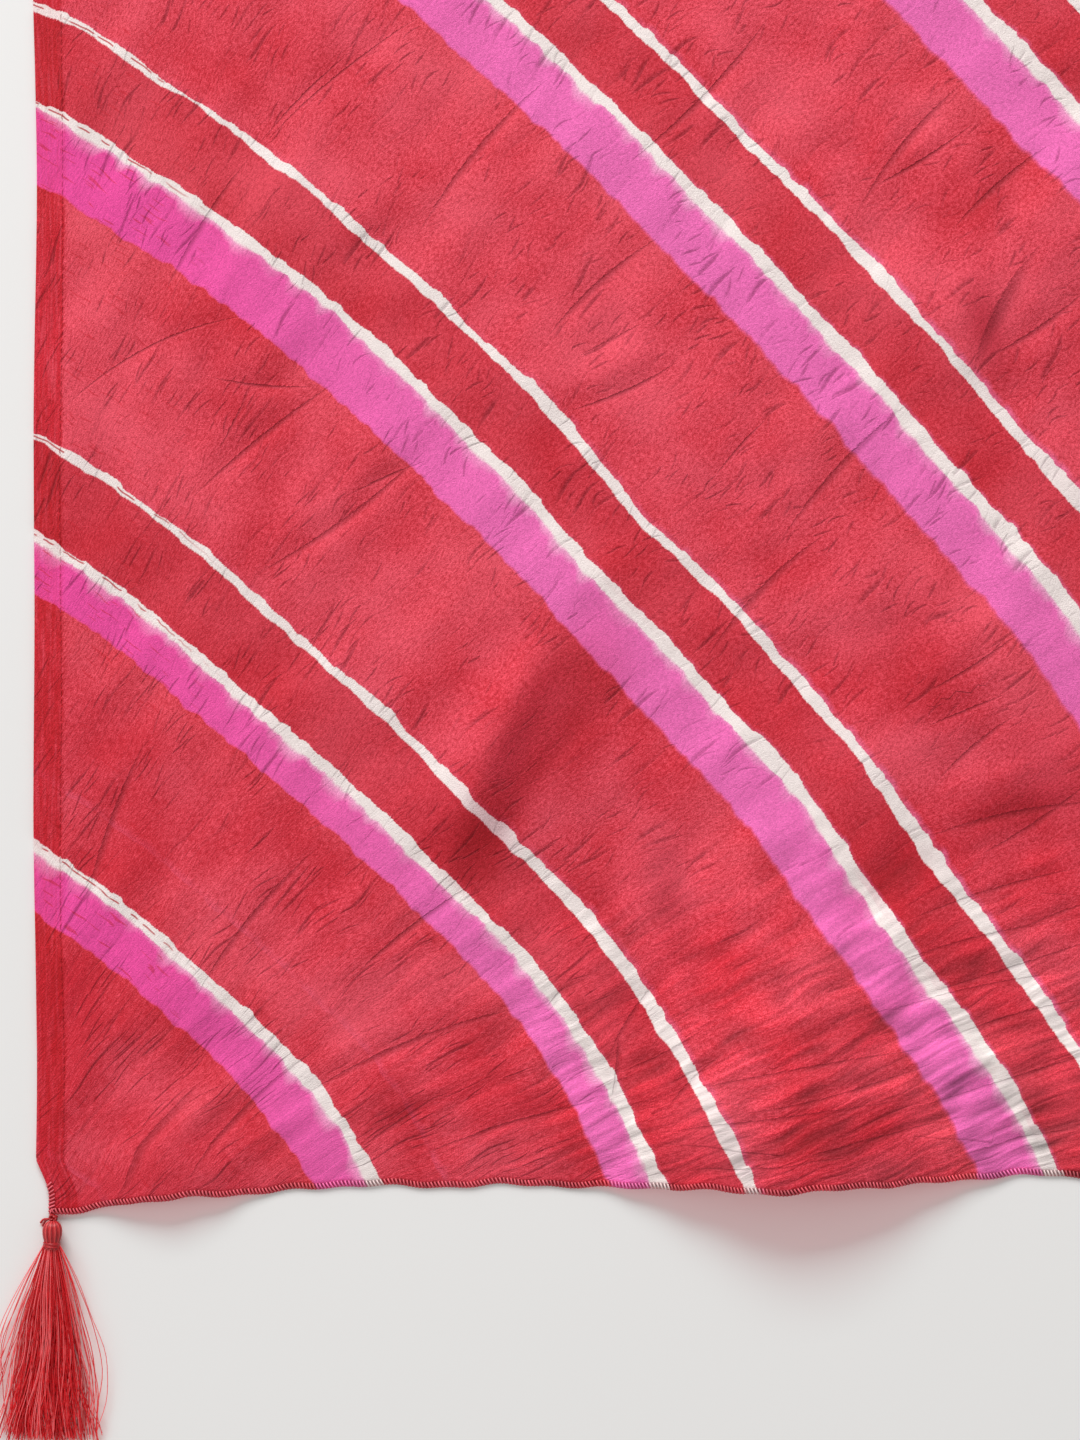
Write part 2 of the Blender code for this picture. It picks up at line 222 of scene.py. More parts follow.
moved = band_shift()
END_RIPPLE = 0.00075
END_RIPPLE_FINE = 0.00035
END_RIPPLE_REACH = 0.030


def end_ripple(across):
    """Small waves of a cut end between its overlock stitches, which the solid is too coarse for."""
    long_wave = np.sin(math.tau * across / 0.047 + 0.8) * np.sin(math.tau * across / 0.211)
    return END_RIPPLE * long_wave + END_RIPPLE_FINE * np.sin(math.tau * across / 0.0187 + 2.1)


def plan(across, along):
    x, y = unshifted_plan(across, along)
    from_corner = eased(np.minimum(across, CLOTH_WIDTH - across) / 0.012)
    near = end_ripple(across) * faded(along, 0.0, END_RIPPLE_REACH)
    far = end_ripple(across + 0.4) * faded(CLOTH_LENGTH - along, 0.0, END_RIPPLE_REACH)
    return x + moved.x, y + moved.y + from_corner * (near - far)


print("The solids stand", round(moved.x / MM, 2), "and", round(moved.y / MM, 2), "mm from the plan")

# %% [markdown]
# ## The camera
# The photograph looks straight down on one corner, so the camera hangs over that corner and looks down
# too. A long lens from above a metre keeps the cloth free of stretch at the frame's edges. The frame is
# taller than it is wide.

# %% Hang the camera over the near left corner
FRAME_HEIGHT = 0.5184
LENS = 85.0
SENSOR = 36.0
FRAME_MIDDLE = (0.1818, 0.1674)


def hang_camera():
    data = bpy.data.cameras.new("corner_camera")
    data.lens = LENS
    data.sensor_fit = "AUTO"
    data.sensor_width = SENSOR
    camera = bpy.data.objects.new("corner_camera", data)
    across, along = FRAME_MIDDLE
    height = FRAME_HEIGHT * LENS / SENSOR
    camera.location = (across - CLOTH_WIDTH / 2 + moved.x, along - CLOTH_LENGTH / 2 + moved.y, height)
    bpy.context.scene.collection.objects.link(camera)
    bpy.context.scene.camera = camera
    return camera


camera = hang_camera()
print("The camera hangs", round(camera.location.z, 3), "m above the floor")

# %% [markdown]
# ## Creases
# Crinkled crepe keeps a memory of how it was folded and wrung. The larger creases are listed one by one,
# each with its own middle, length, width, depth and direction, and a small bend. Below nought it is a
# trough, above it a ridge. The cloth outside the frame gets similar ones with a fixed seed, and they
# follow the same turning grain.

# %% Creases listed one by one, in millimetres and degrees
CREASES = (
    # across, along, half_length, half_width, height, turn, bend
    (82, 269, 24, 3.0, -1.3, 39, 0.8),
    (82, 288, 13, 2.6, -1.0, -5, -0.6),
    (72, 275, 9, 2.6, -0.9, 63, 0.0),
    (79, 277, 18, 4.2, 0.9, 40, 0.6),
    (111, 240, 27, 3.4, -1.3, 36, -1.4),
    (127, 255, 11, 2.6, -0.9, 24, 0.4),
    (107, 247, 22, 4.6, 0.9, 37, -1.0),
    (105, 203, 9, 2.6, -0.8, 54, 0.0),
    (42, 300, 28, 2.4, -0.8, 27, 3.6),
    (203, 324, 19, 3.4, -1.4, 42, 1.2),
    (212, 286, 15, 3.0, -1.1, 24, -0.8),
    (207, 304, 9, 2.6, -1.0, 27, 0.0),
    (203, 313, 15, 4.2, 1.0, 38, 0.8),
    (211, 295, 13, 4.0, 0.9, 26, 0.0),
    (313, 374, 21, 3.6, -1.5, 51, 1.4),
    (319, 369, 16, 3.0, -1.1, 32, -0.6),
    (347, 360, 16, 3.4, -1.3, 41, 0.8),
    (309, 365, 16, 4.4, 1.1, 42, 0.6),
    (334, 367, 15, 4.2, 1.0, 40, 0.0),
    (347, 315, 19, 5.2, -1.8, 63, 1.6),
    (360, 308, 15, 3.4, -1.2, 34, -0.8),
    (350, 133, 23, 3.4, -1.4, 12, 1.2),
    (360, 131, 17, 3.0, -1.2, 34, -0.8),
    (365, 96, 13, 3.0, -1.1, 23, 0.6),
    (335, 171, 11, 2.6, -1.0, 22, 0.0),
    (338, 158, 13, 3.0, -1.2, 40, 0.6),
    (337, 187, 15, 3.0, -1.1, 32, -0.6),
    (343, 146, 18, 4.2, 1.0, 20, 0.6),
    (357, 113, 17, 4.6, 1.1, 18, 0.8),
    (133, 50, 30, 3.6, -1.3, 22, 1.6),
    (131, 23, 12, 3.0, -1.0, 34, 0.0),
    (171, 22, 25, 3.2, -1.1, 17, 0.8),
    (150, 36, 24, 4.6, 1.0, 20, 1.0),
    (40, 20, 20, 5.0, -1.3, 48, 1.2),
    (56, 22, 22, 6.0, 1.4, 48, 1.0),
    (72, 26, 20, 4.6, -1.1, 44, 0.8),
    (232, 95, 42, 9.0, -1.8, 81, -6.0),
    (263, 63, 32, 9.0, 1.7, 86, -3.0),
    (166, 158, 42, 11.0, 3.4, 66, 2.0),
    (181, 152, 38, 9.0, -1.8, 66, 2.0),
    (290, 58, 15, 4.0, -1.5, 20, 0.8),
    (276, 43, 30, 2.8, -1.1, 9, 1.0),
    (291, 35, 26, 3.2, -1.0, 13, -0.8),
    (268, 26, 32, 2.8, -1.2, 7, 0.6),
    (300, 17, 28, 3.0, -1.0, 11, 0.8),
    (262, 9, 24, 2.6, -0.9, 5, 0.0),
    (280, 30, 26, 3.2, 0.9, 9, 0.6),
    (345, 106, 24, 2.8, -1.0, 17, 0.8),
    (338, 88, 27, 3.0, -1.2, 14, 1.0),
    (352, 78, 24, 2.8, -1.0, 18, -0.6),
    (334, 69, 25, 3.0, -1.1, 12, 0.6),
    (355, 60, 22, 2.8, -1.0, 15, 0.8),
    (340, 48, 26, 3.0, -1.2, 12, 0.6),
    (350, 36, 24, 3.2, -1.0, 16, -0.8),
    (332, 23, 26, 2.8, -1.1, 9, 0.6),
    (348, 12, 22, 2.8, -0.9, 12, 0.4),
    (344, 92, 22, 3.6, 1.0, 15, 0.8),
    (341, 42, 24, 3.6, 1.0, 13, 0.6),
    (214, 60, 11, 3.2, -1.2, 58, 0.6),
    (226, 48, 12, 3.2, -1.2, 28, -0.6),
    (236, 38, 12, 3.0, -1.1, 46, 0.8),
    (222, 34, 10, 3.0, 1.0, 12, 0.0),
    (240, 57, 11, 3.2, 1.1, 70, 0.6),
    (209, 42, 12, 3.0, -1.0, 84, -0.6),
    (97, 392, 17, 2.4, -0.8, 45, 0.6),
    (110, 399, 28, 2.4, -0.8, 39, 1.6),
    (254, 266, 11, 2.6, -0.9, 48, 0.4),
    (43, 297, 23, 6.0, 1.0, 80, 1.2),
    (115, 333, 18, 9.0, -1.6, 45, 1.6),
    (304, 189, 28, 11.0, -1.9, 50, 2.4),
    (347, 333, 36, 10.0, -1.9, 75, 2.0),
    (308, 113, 17, 9.0, -1.5, 40, 1.2),
    (369, 23, 15, 8.0, -1.5, 30, 0.8),
    (88, 185, 17, 8.0, -1.5, 45, 1.2),
    (189, 247, 19, 8.0, -1.5, 40, 1.2),
    (45, 214, 19, 8.0, -1.5, 60, 1.6),
    (262, 214, 22, 6.0, -1.2, 46, 1.6),
    (250, 160, 20, 6.0, 1.2, 52, -1.2),
    (290, 258, 24, 5.0, -1.2, 47, 1.4),
    (302, 268, 22, 5.4, 1.1, 47, 1.4),
    (160, 372, 26, 5.0, -1.1, 50, 1.6),
    (172, 380, 24, 5.6, 1.1, 50, 1.4),
    (240, 392, 26, 4.4, -1.1, 46, -1.4),
    (60, 345, 20, 4.6, -1.0, 58, 1.0),
    (28, 130, 24, 4.6, -1.1, 70, 1.2),
    (60, 120, 24, 5.4, 1.1, 58, 1.6),
    (78, 96, 24, 4.6, -1.1, 50, 1.2),
    (120, 108, 26, 5.0, 1.0, 42, -1.4),
    (135, 92, 22, 4.4, -1.0, 38, 1.0),
)
print("Placed", len(CREASES), "creases by hand")

# %% Similar creases past the frame
CREASE_SEED = 11
CREASES_PAST_FRAME = 300
SEEN_ACROSS = 0.392
SEEN_ALONG = 0.440
FRAME_MARGIN = 0.02

# plain slope, extra slope at the edge, and how far that reaches in millimetres
STEEP_ACROSS = (0.6, 1.1, 120.0)
STEEP_ALONG = (0.7, 1.3, 90.0)


def slope_at(distance, plain, extra, reach):
    return plain + extra * math.exp(-distance / (reach * MM))


def grain_turn(across, along):
    """The direction of the crinkle at one place: steep at the left edge, flatter towards the near end."""
    return math.degrees(math.atan2(slope_at(across, *STEEP_ACROSS), slope_at(along, *STEEP_ALONG)))


def creases_past_frame():
    chance = random.Random(CREASE_SEED)
    rows = []
    while len(rows) < CREASES_PAST_FRAME:
        across = chance.uniform(0.02, CLOTH_WIDTH - 0.02)
        along = chance.uniform(0.01, CLOTH_LENGTH - 0.01)
        if across < SEEN_ACROSS + FRAME_MARGIN and along < SEEN_ALONG + FRAME_MARGIN:
            continue
        turn = grain_turn(across, along) + chance.gauss(0, 14)
        height = chance.choice((-1.0, -1.0, 1.0)) * chance.uniform(1.0, 2.4)
        size = (chance.uniform(18, 52), chance.uniform(7, 14), height, turn, chance.uniform(-3, 3))
        rows.append((across / MM, along / MM, *size))
    return rows


ALL_CREASES = list(CREASES) + creases_past_frame()
print("With those past the frame there are", len(ALL_CREASES), "creases")

# %% [markdown]
# ## The grain of the crinkle
# Two lengths run over the cloth like a bent ruled grid: one steps over the crinkles and the other runs
# along them. Fine crinkle, in the mesh and in the material, is stretched noise on those two lengths, so
# that it turns with the creases: steep at the left edge, on the slant in the middle and almost level near
# the end.

# %% The two lengths of the crinkle, in millimetres
def gathered(distance, plain, extra, reach):
    return plain * distance + extra * reach * (1 - np.exp(-distance / reach))


def spread_out(distance, plain, extra, reach):
    grown = np.log(plain * np.exp(distance / reach) + extra) - math.log(plain + extra)
    return reach / plain * grown


def crinkle_place(across, along):
    """How far over the crinkles, and how far along them."""
    u, v = across / MM, along / MM
    over = gathered(u, *STEEP_ACROSS) - gathered(v, *STEEP_ALONG)
    lengthwise = spread_out(u, *STEEP_ACROSS) + spread_out(v, *STEEP_ALONG)
    return over, lengthwise


over, lengthwise = crinkle_place(np.array([0.0, 0.3]), np.array([0.4, 0.05]))
print("Over the crinkles:", np.round(over, 1), "and along them:", np.round(lengthwise, 1))

# %% Relief: how far the crinkled cloth stands off its smooth form
REST = 0.0011
EDGE_REST = 0.0003
RELIEF_EASE = 0.00025
CREASE_REACH = 2.4
CREASE_FAR = 300.0
WAVES = (
    # over the crinkles, along them, seed
    (26, 60, 1.7),
    (11, 42, 7.3),
    (5.5, 22, 3.1),
)
WAVE_HEIGHTS = (1.7, 0.62, 0.30)
SATIN_CALM = 0.45
SIDE_RELIEF = 0.25
SIDE_REACH = 0.020
END_REACH = 0.012


def crease_relief(across, along):
    u, v = across / MM, along / MM
    raised = np.zeros_like(u)
    for middle_u, middle_v, half_length, half_width, height, turn, bend in ALL_CREASES:
        length, side = turned(u - middle_u, v - middle_v, turn)
        length = length / half_length
        side = side + bend * (length**2 - 0.5)
        near = np.abs(length) < CREASE_REACH
        off = np.minimum(2.0 * np.abs(side[near]) / half_width, CREASE_FAR)
        raised[near] += height * np.exp(-(length[near] ** 2)) / np.cosh(off)
    return raised * MM


def crinkle_relief(across, along):
    over, lengthwise = crinkle_place(across, along)
    heights = np.empty_like(over)
    calm = 1.0 - SATIN_CALM * eased((across - 0.20) / 0.12) * faded(along, 0.08, 0.22)
    broad_height, fine_height, finest_height = WAVE_HEIGHTS
    for i in range(len(over)):
        places = [Vector((over[i] / wide, lengthwise[i] / long, seed)) for wide, long, seed in WAVES]
        broad, fine, finest = (noise.noise(place) for place in places)
        small = fine_height * fine + finest_height * (0.35 - abs(finest))
        heights[i] = broad_height * broad + small * calm[i]
    return heights * MM


def relief(across, along):
    to_side = np.minimum(across, CLOTH_WIDTH - across)
    side_share = SIDE_RELIEF + (1 - SIDE_RELIEF) * eased(to_side / SIDE_REACH)
    end_share = eased(to_nearest_end(along) / END_REACH)
    raised = REST + crease_relief(across, along) + crinkle_relief(across, along)
    eased_off = (raised + np.sqrt(raised**2 + RELIEF_EASE**2)) / 2
    return EDGE_REST + eased_off * side_share * end_share


sample = relief(np.array([0.05, 0.2, 0.35]), np.array([0.2, 0.2, 0.2]))
print("Three places stand", np.round(sample / MM, 2), "mm off the smooth form")

# %% [markdown]
# ## The cloth as a thin shell
# The real cloth is far thinner than its solid. A grid of cells is laid out in the plan, cut finer where
# the camera looks, moved onto the solid's form and the relief, and given a thin wall with Solidify. Both
# long edges turn under: the grid goes round a small fold and back under itself as a flap, as the sewn hem
# does.

# %% Rows and columns of the grid
CELL = 0.013
FINER = 4
HEM_STEP = 0.0009
SHELL = 0.0003
FOLD_TOP = 0.0006
FOLD_WALK = 0.0014
FLAP_SHARES = (1.0, 0.7, 0.4, 0.15)
HEM_COLUMNS = (0.0014, 0.0030, 0.0060, 0.0090, 0.0110, 0.0128, 0.0160, 0.0200, 0.0250)
END_ROWS = (0.0, 0.003, 0.007, 0.012, 0.018, 0.026, 0.036)
TALL_CELL = 0.006
NEARLY = 1e-6


def even_steps(start, end, step):
    count = max(1, round((end - start) / step))
    return [start + (end - start) * i / count for i in range(count + 1)]


def column_walk():
    """Columns from the left flap's cut edge to the right one's.
    A walk of less than FOLD_TOP goes round the fold and under."""
    fold_end = FOLD_TOP - FOLD_WALK
    flap = [fold_end - TURNING * share for share in FLAP_SHARES]
    fold = [fold_end + FOLD_WALK * i / 6 for i in range(7)]
    left = flap + fold + list(HEM_COLUMNS)
    middle = even_steps(left[-1], CLOTH_WIDTH - left[-1], CELL)[1:-1]
    return left + middle + [CLOTH_WIDTH - walk for walk in reversed(left)]


def row_walk():
    near = list(END_ROWS)
    middle = even_steps(near[-1], CLOTH_LENGTH - near[-1], CELL)[1:-1]
    return near + middle + [CLOTH_LENGTH - walk for walk in reversed(near)]


columns, rows = column_walk(), row_walk()
print("The grid has", len(columns), "columns and", len(rows), "rows before it is cut finer")


# %% Lay out the grid and cut it finer where the camera looks
def flat_grid():
    work = bmesh.new()
    points = [[work.verts.new((walk, along, 0.0)) for walk in columns] for along in rows]
    for low, high in zip(points, points[1:]):
        for i in range(len(columns) - 1):
            work.faces.new((low[i], low[i + 1], high[i + 1], high[i]))
    finer = []
    for edge in work.edges:
        first, second = (vert.co for vert in edge.verts)
        seen = max(first.x, second.x) < SEEN_ACROSS and max(first.y, second.y) < SEEN_ALONG
        runs_along = abs(first.y - second.y) > NEARLY
        tall = abs(first.y - second.y) > TALL_CELL
        past_hem = min(first.x, second.x) > HEM_COLUMNS[-1] - NEARLY
        if seen and (tall if runs_along else past_hem):
            finer.append(edge)
    bmesh.ops.subdivide_edges(work, edges=finer, cuts=FINER, use_grid_fill=True)
    return work


work = flat_grid()
print("Cut finer, it has", len(work.verts), "points and", len(work.faces), "cells")


# %% Move the grid onto the form
def hem_section(walk, along):
    """How far in from the side edge a column lies, and how high above the floor its hem holds it."""
    flap = TURNING_AT_CORNER + (TURNING - TURNING_AT_CORNER) * eased(to_nearest_end(along) / TURNING_FADE)
    radius = HEM_STEP / 2
    turn = np.pi / 2 + np.pi * np.clip((FOLD_TOP - walk) / FOLD_WALK, 0.0, 1.0)
    fold_across = FOLD_TOP + radius * np.cos(turn)
    fold_height = radius + radius * np.sin(turn)
    under = np.clip((FOLD_TOP - FOLD_WALK - walk) / TURNING, 0.0, 1.0)
    main_height = HEM_STEP * (1 - eased((walk - flap) / TURNING_SETTLE))
    above = walk >= FOLD_TOP
    below = walk < FOLD_TOP - FOLD_WALK
    across = np.where(above, walk, np.where(below, FOLD_TOP + (flap - FOLD_TOP) * under, fold_across))
    height = np.where(above, main_height, np.where(below, 0.0, fold_height))
    return across, height


def formed(walk, along):
    """How far across the cloth, how high its form lifts, and the point in space, for many grid places."""
    right_side = walk > CLOTH_WIDTH / 2
    inward, hem_height = hem_section(np.where(right_side, CLOTH_WIDTH - walk, walk), along)
    across = np.where(right_side, CLOTH_WIDTH - inward, inward)
    x, y = plan(across, along)
    rise = lift(across, along)
    z = SHELL / 2 + hem_height + rise + relief(across, along)
    return across, rise, np.stack([x, y, z], axis=1)


work.verts.ensure_lookup_table()
flat = np.array([vert.co[:2] for vert in work.verts])
across, rise, points = formed(flat[:, 0], flat[:, 1])
along = flat[:, 1]
for vert, point in zip(work.verts, points):
    vert.co = point
shell_mesh = bpy.data.meshes.new("dyed_crepe_shell")
work.to_mesh(shell_mesh)
work.free()
print("The highest point of the cloth is", round(points[:, 2].max() / MM, 1), "mm above the floor")

# %% [markdown]
# ## Where the dye went
# Every white line is one bound roll of the cloth. Counting the rolls gives one number that rises by one
# from line to line over the whole cloth: a gently curved map, steeper near the left edge and the near
# end, where the lines bend. The mesh carries the count as an attribute, and the material draws the lines
# from it, at any distance.

# %% The stripe count, from the curved map
ACROSS_SLOPE = 0.734
NEAR_LEFT_EDGE = (0.557, 173.5)
ALONG_CLOTH = (0.566, 900.0)
AT_END = (0.1465, 55.0)
LINE_HEIGHTS = (-6.0, 53.9, 113.3, 206.2, 308.0, 416.8)
LINE_SPACING = 108.8
LINES_PAST_THOSE = 23
SWAYS = (
    # across, along, reach, sideways
    (67, 182, 40, -4.1),
    (194, 81, 50, 7.6),
    (272, 142, 32, 4.3),
    (37, 365, 24, -1.4),
    (18, 416, 20, 2.8),
    (221, 238, 28, -4.1),
    (106, 315, 26, 2.1),
    (340, 200, 36, 3.9),
    (120, 60, 40, 4.1),
    (280, 400, 45, -1.0),
)
SWAY_SEED = 4
SWAYS_PAST_FRAME = 90
SWAY_ROOM = 60


def sways_past_frame():
    """Places where the rolled cloth slipped a little under its thread, past the part that the camera sees."""
    chance = random.Random(SWAY_SEED)
    rows = []
    while len(rows) < SWAYS_PAST_FRAME:
        across, along = chance.uniform(0, CLOTH_WIDTH / MM), chance.uniform(0, CLOTH_LENGTH / MM)
        if across > SEEN_ACROSS / MM + SWAY_ROOM or along > SEEN_ALONG / MM + SWAY_ROOM:
            rows.append((across, along, chance.uniform(25, 50), chance.gauss(0, 3.5)))
    return rows


ALL_SWAYS = list(SWAYS) + sways_past_frame()


def bent(distance, share, reach):
    return share * reach * (1 - np.exp(-distance / reach))


def levelled(distance, share, reach):
    """A share of the rise that is missing next to the end and comes back over reach."""
    part = np.clip(distance / reach, 0.0, 1.0)
    return share * reach * (part - part**3 + part**4 / 2)


def dye_height(across, along):
    u, v = across / MM, along / MM
    slope = ACROSS_SLOPE * (1 - NEAR_LEFT_EDGE[0] * np.exp(-u / NEAR_LEFT_EDGE[1]))
    slipped = 0.0
    for middle_u, middle_v, reach, sideways in ALL_SWAYS:
        slipped = slipped + sideways * np.exp(-((u - middle_u) ** 2 + (v - middle_v) ** 2) / reach**2)
    right = ACROSS_SLOPE * (u - bent(u, *NEAR_LEFT_EDGE)) - slope * slipped
    return right + v - bent(v, *ALONG_CLOTH) - levelled(v, *AT_END)


def stripe_count(height):
    past = [LINE_HEIGHTS[-1] + LINE_SPACING * (i + 1) for i in range(LINES_PAST_THOSE)]
    knots = list(LINE_HEIGHTS) + past
    return np.interp(height, knots, np.arange(len(knots)) - 1.0)


def dye_place(across, along):
    """Stripe count, millimetres along the stripe, and millimetres from one stripe to the next."""
    step = 0.5 * MM
    here = stripe_count(dye_height(across, along))
    right = stripe_count(dye_height(across + step, along)) - stripe_count(dye_height(across - step, along))
    up = stripe_count(dye_height(across, along + step)) - stripe_count(dye_height(across, along - step))
    spacing = 1.0 / np.maximum(np.hypot(right, up), 0.004)
    return np.stack([here, 0.8 * across / MM - 0.6 * along / MM, spacing], axis=1)


def laid_place(across, along, rise):
    return np.stack([across / MM, along / MM, rise / MM], axis=1)


def carry(mesh, name, values):
    """Gives the mesh a vector attribute on its points, for the material to read."""
    made = mesh.attributes.new(name, "FLOAT_VECTOR", "POINT")
    made.data.foreach_set("vector", np.ascontiguousarray(values, np.float32).ravel())


# %% [markdown]
# ## Painted shade in the folds
# Soft patches of painted shade darken the cloth where its folds turn from the light. Each patch has a
# middle, a length, a width, a depth and a direction. Below nought it is a paler patch of painted light.

# %% Patches of painted fold shade, in millimetres and degrees
FOLD_SHADE_PATCHES = (
    # across, along, half_length, half_width, depth, turn
    (177, 158, 36, 11, 0.95, 61),
    (161, 118, 14, 11, 0.80, 70),
    (203, 178, 20, 14, 0.40, 60),
    (227, 106, 24, 7, 0.50, 84),
    (300, 56, 15, 8, 0.80, 40),
    (130, 27, 14, 10, 0.60, 50),
    (311, 192, 34, 16, 0.50, 50),
    (342, 308, 22, 8, 0.85, 100),
    (344, 356, 13, 7, 0.65, 45),
    (58, 300, 28, 8, 0.30, 90),
    (308, 113, 15, 8, 0.55, 35),
    (283, 16, 30, 7, 0.50, 8),
    (103, 405, 24, 13, 0.35, 30),
    (362, 21, 20, 7, 0.55, 15),
    (327, 176, 14, 9, 0.45, 60),
    (77, 274, 20, 7, 0.35, 40),
    (92, 196, 18, 9, 0.30, 50),
    (333, 77, 22, 7, 0.45, 20),
    (352, 133, 24, 7, 0.50, 18),
    (205, 322, 22, 8, 0.35, 40),
    (232, 96, 12, 6, 0.30, 84),
    (46, 76, 22, 10, 0.25, 60),
    (52, 34, 40, 30, 0.30, 40),
    (368, 150, 34, 24, 0.55, 60),
    (306, 24, 26, 9, 0.50, 15),
    (190, 178, 62, 22, 0.40, 58),
    (300, 96, 50, 16, 0.30, 62),
    (376, 262, 26, 20, 0.30, 50),
    (20, 262, 40, 12, 0.25, 90),
    (149, 211, 32, 14, -0.50, 55),
    (250, 121, 20, 15, -0.50, 80),
    (254, 70, 17, 13, -0.60, 80),
    (203, 121, 16, 11, -0.40, 70),
    (67, 117, 24, 15, -0.40, 60),
    (149, 358, 34, 20, -0.30, 50),
    (262, 372, 30, 14, -0.35, 45),
    (236, 290, 24, 12, -0.30, 50),
    (320, 128, 18, 9, -0.40, 25),
    (338, 45, 20, 8, -0.40, 14),
    (180, 62, 22, 10, -0.30, 50),
)
FOLD_SHADE_SEED = 21
FOLD_SHADE_PAST_FRAME = 170


def fold_shade_past_frame():
    chance = random.Random(FOLD_SHADE_SEED)
    shade_patches = []
    while len(shade_patches) < FOLD_SHADE_PAST_FRAME:
        across, along = chance.uniform(0, CLOTH_WIDTH), chance.uniform(0, CLOTH_LENGTH)
        # a patch below nought is painted light
        depth = chance.uniform(0.3, 0.9) * chance.choice((1.0, 1.0, -0.6))
        half_length, half_width = chance.uniform(14, 36), chance.uniform(7, 16)
        turn = grain_turn(across, along) + chance.gauss(0, 16)
        if across > SEEN_ACROSS + FRAME_MARGIN or along > SEEN_ALONG + FRAME_MARGIN:
            shade_patches.append((across / MM, along / MM, half_length, half_width, depth, turn))
    return shade_patches


ALL_FOLD_SHADE = list(FOLD_SHADE_PATCHES) + fold_shade_past_frame()


def fold_shade_at(across, along):
    """Above nought where a soft fold is painted darker as shade, below it where a fold's back is painted
    light.
    """
    u, v = across / MM, along / MM
    shade_here = np.zeros_like(u)
    for middle_u, middle_v, half_length, half_width, depth, turn in ALL_FOLD_SHADE:
        length, side = turned(u - middle_u, v - middle_v, turn)
        shade_here = shade_here + depth * np.exp(-((length / half_length) ** 2) - (side / half_width) ** 2)
    return np.clip(shade_here, -1.0, 1.2)


def crinkle_and_fold_shade(across, along):
    over, lengthwise = crinkle_place(across, along)
    return np.stack([over, lengthwise, fold_shade_at(across, along)], axis=1)


carry(shell_mesh, "dye_place", dye_place(across, along))
carry(shell_mesh, "laid_place", laid_place(across, along, rise))
# the third part of crinkle_place is the painted fold shade
carry(shell_mesh, "crinkle_place", crinkle_and_fold_shade(across, along))
last_count = stripe_count(dye_height(CLOTH_WIDTH, CLOTH_LENGTH))
print("The stripes number", round(last_count, 1), "over the whole cloth")

# %% [markdown]
# ## Pressed lines for the listed creases
# A crease in crepe has a soft trough, which the mesh holds, and a sharp pressed line in it, far finer
# than the mesh. Each point of the mesh carries its distance from the line of the crease that is nearest,
# how far the line has tapered there, and the line's half width. A distance stays exact between points, so
# the line comes out crisp. Creases that lie close together are put in different attributes, so that one
# never hides another.

# %% Share the creases out over three attributes
HAND_LINES = 3
LINE_ROOM = 11.0
LINE_REACH = 8.0
LINE_SHARE = 1.5
LINE_FADE = 3.0
THINNEST_LINE = 0.10
WIDEST_SHARP = 6.0
NO_LINE = (LINE_REACH, 0.0, THINNEST_LINE)


def crease_points(row):
    """Nine points along a crease, to measure how near it lies to others."""
    middle_u, middle_v, half_length, _, _, turn, bend = row
    angle = math.radians(turn)
    shares = np.linspace(-LINE_SHARE, LINE_SHARE, 9)
    side = -bend * (shares**2 - 0.5)
    u = middle_u + shares * half_length * math.cos(angle) - side * math.sin(angle)
    v = middle_v + shares * half_length * math.sin(angle) + side * math.cos(angle)
    return np.stack([u, v], axis=1)


def shared_out(creases):
    layers = [[] for _ in range(HAND_LINES)]
    for row in creases:
        points = crease_points(row)
        for layer in layers:
            gaps = [np.min(np.linalg.norm(points[:, None] - other[None], axis=2)) for _, other in layer]
            if not gaps or min(gaps) > LINE_ROOM:
                layer.append((row, points))
                break
    return layers


def pressed_line(layer, across, along):
    u, v = across / MM, along / MM
    values = np.tile(NO_LINE, (len(u), 1))
    best = np.full(len(u), np.inf)
    for (middle_u, middle_v, half_length, half_width, height, turn, bend), _ in layer:
        length, side = turned(u - middle_u, v - middle_v, turn)
        share = length / (LINE_SHARE * half_length)
        side = side + bend * ((LINE_SHARE * share) ** 2 - 0.5)
        off = np.hypot(side, np.maximum(0.0, np.abs(share) - 1.0) * LINE_SHARE * half_length)
        chosen = off < best
        best[chosen] = off[chosen]
        values[chosen, 0] = np.clip(side[chosen], -LINE_REACH, LINE_REACH)
        near = np.clip((LINE_REACH - off[chosen]) / LINE_FADE, 0.0, 1.0)
        values[chosen, 1] = np.maximum(0.0, 1 - share[chosen] ** 2) * near
        values[chosen, 2] = THINNEST_LINE + 0.24 * min(half_width, 5.0) * (abs(height) - 0.4)
    return values


sharp_creases = [row for row in CREASES if row[3] <= WIDEST_SHARP and row[4] < 0]
line_layers = shared_out(sharp_creases)
for i, layer in enumerate(line_layers):
    carry(shell_mesh, f"pressed_line_{i + 1}", pressed_line(layer, across, along))
print("Pressed lines in each attribute:", [len(layer) for layer in line_layers], "of", len(sharp_creases))


# %% Give the shell its wall and make it a plain mesh
def plain_mesh_of(maker, name):
    """The evaluated result of an object's modifiers as a new object at the origin. The maker is removed."""
    graph = bpy.context.evaluated_depsgraph_get()
    mesh = bpy.data.meshes.new_from_object(maker.evaluated_get(graph))
    mesh.name = name
    bpy.data.objects.remove(maker)
    made = bpy.data.objects.new(name, mesh)
    bpy.context.scene.collection.objects.link(made)
    return made


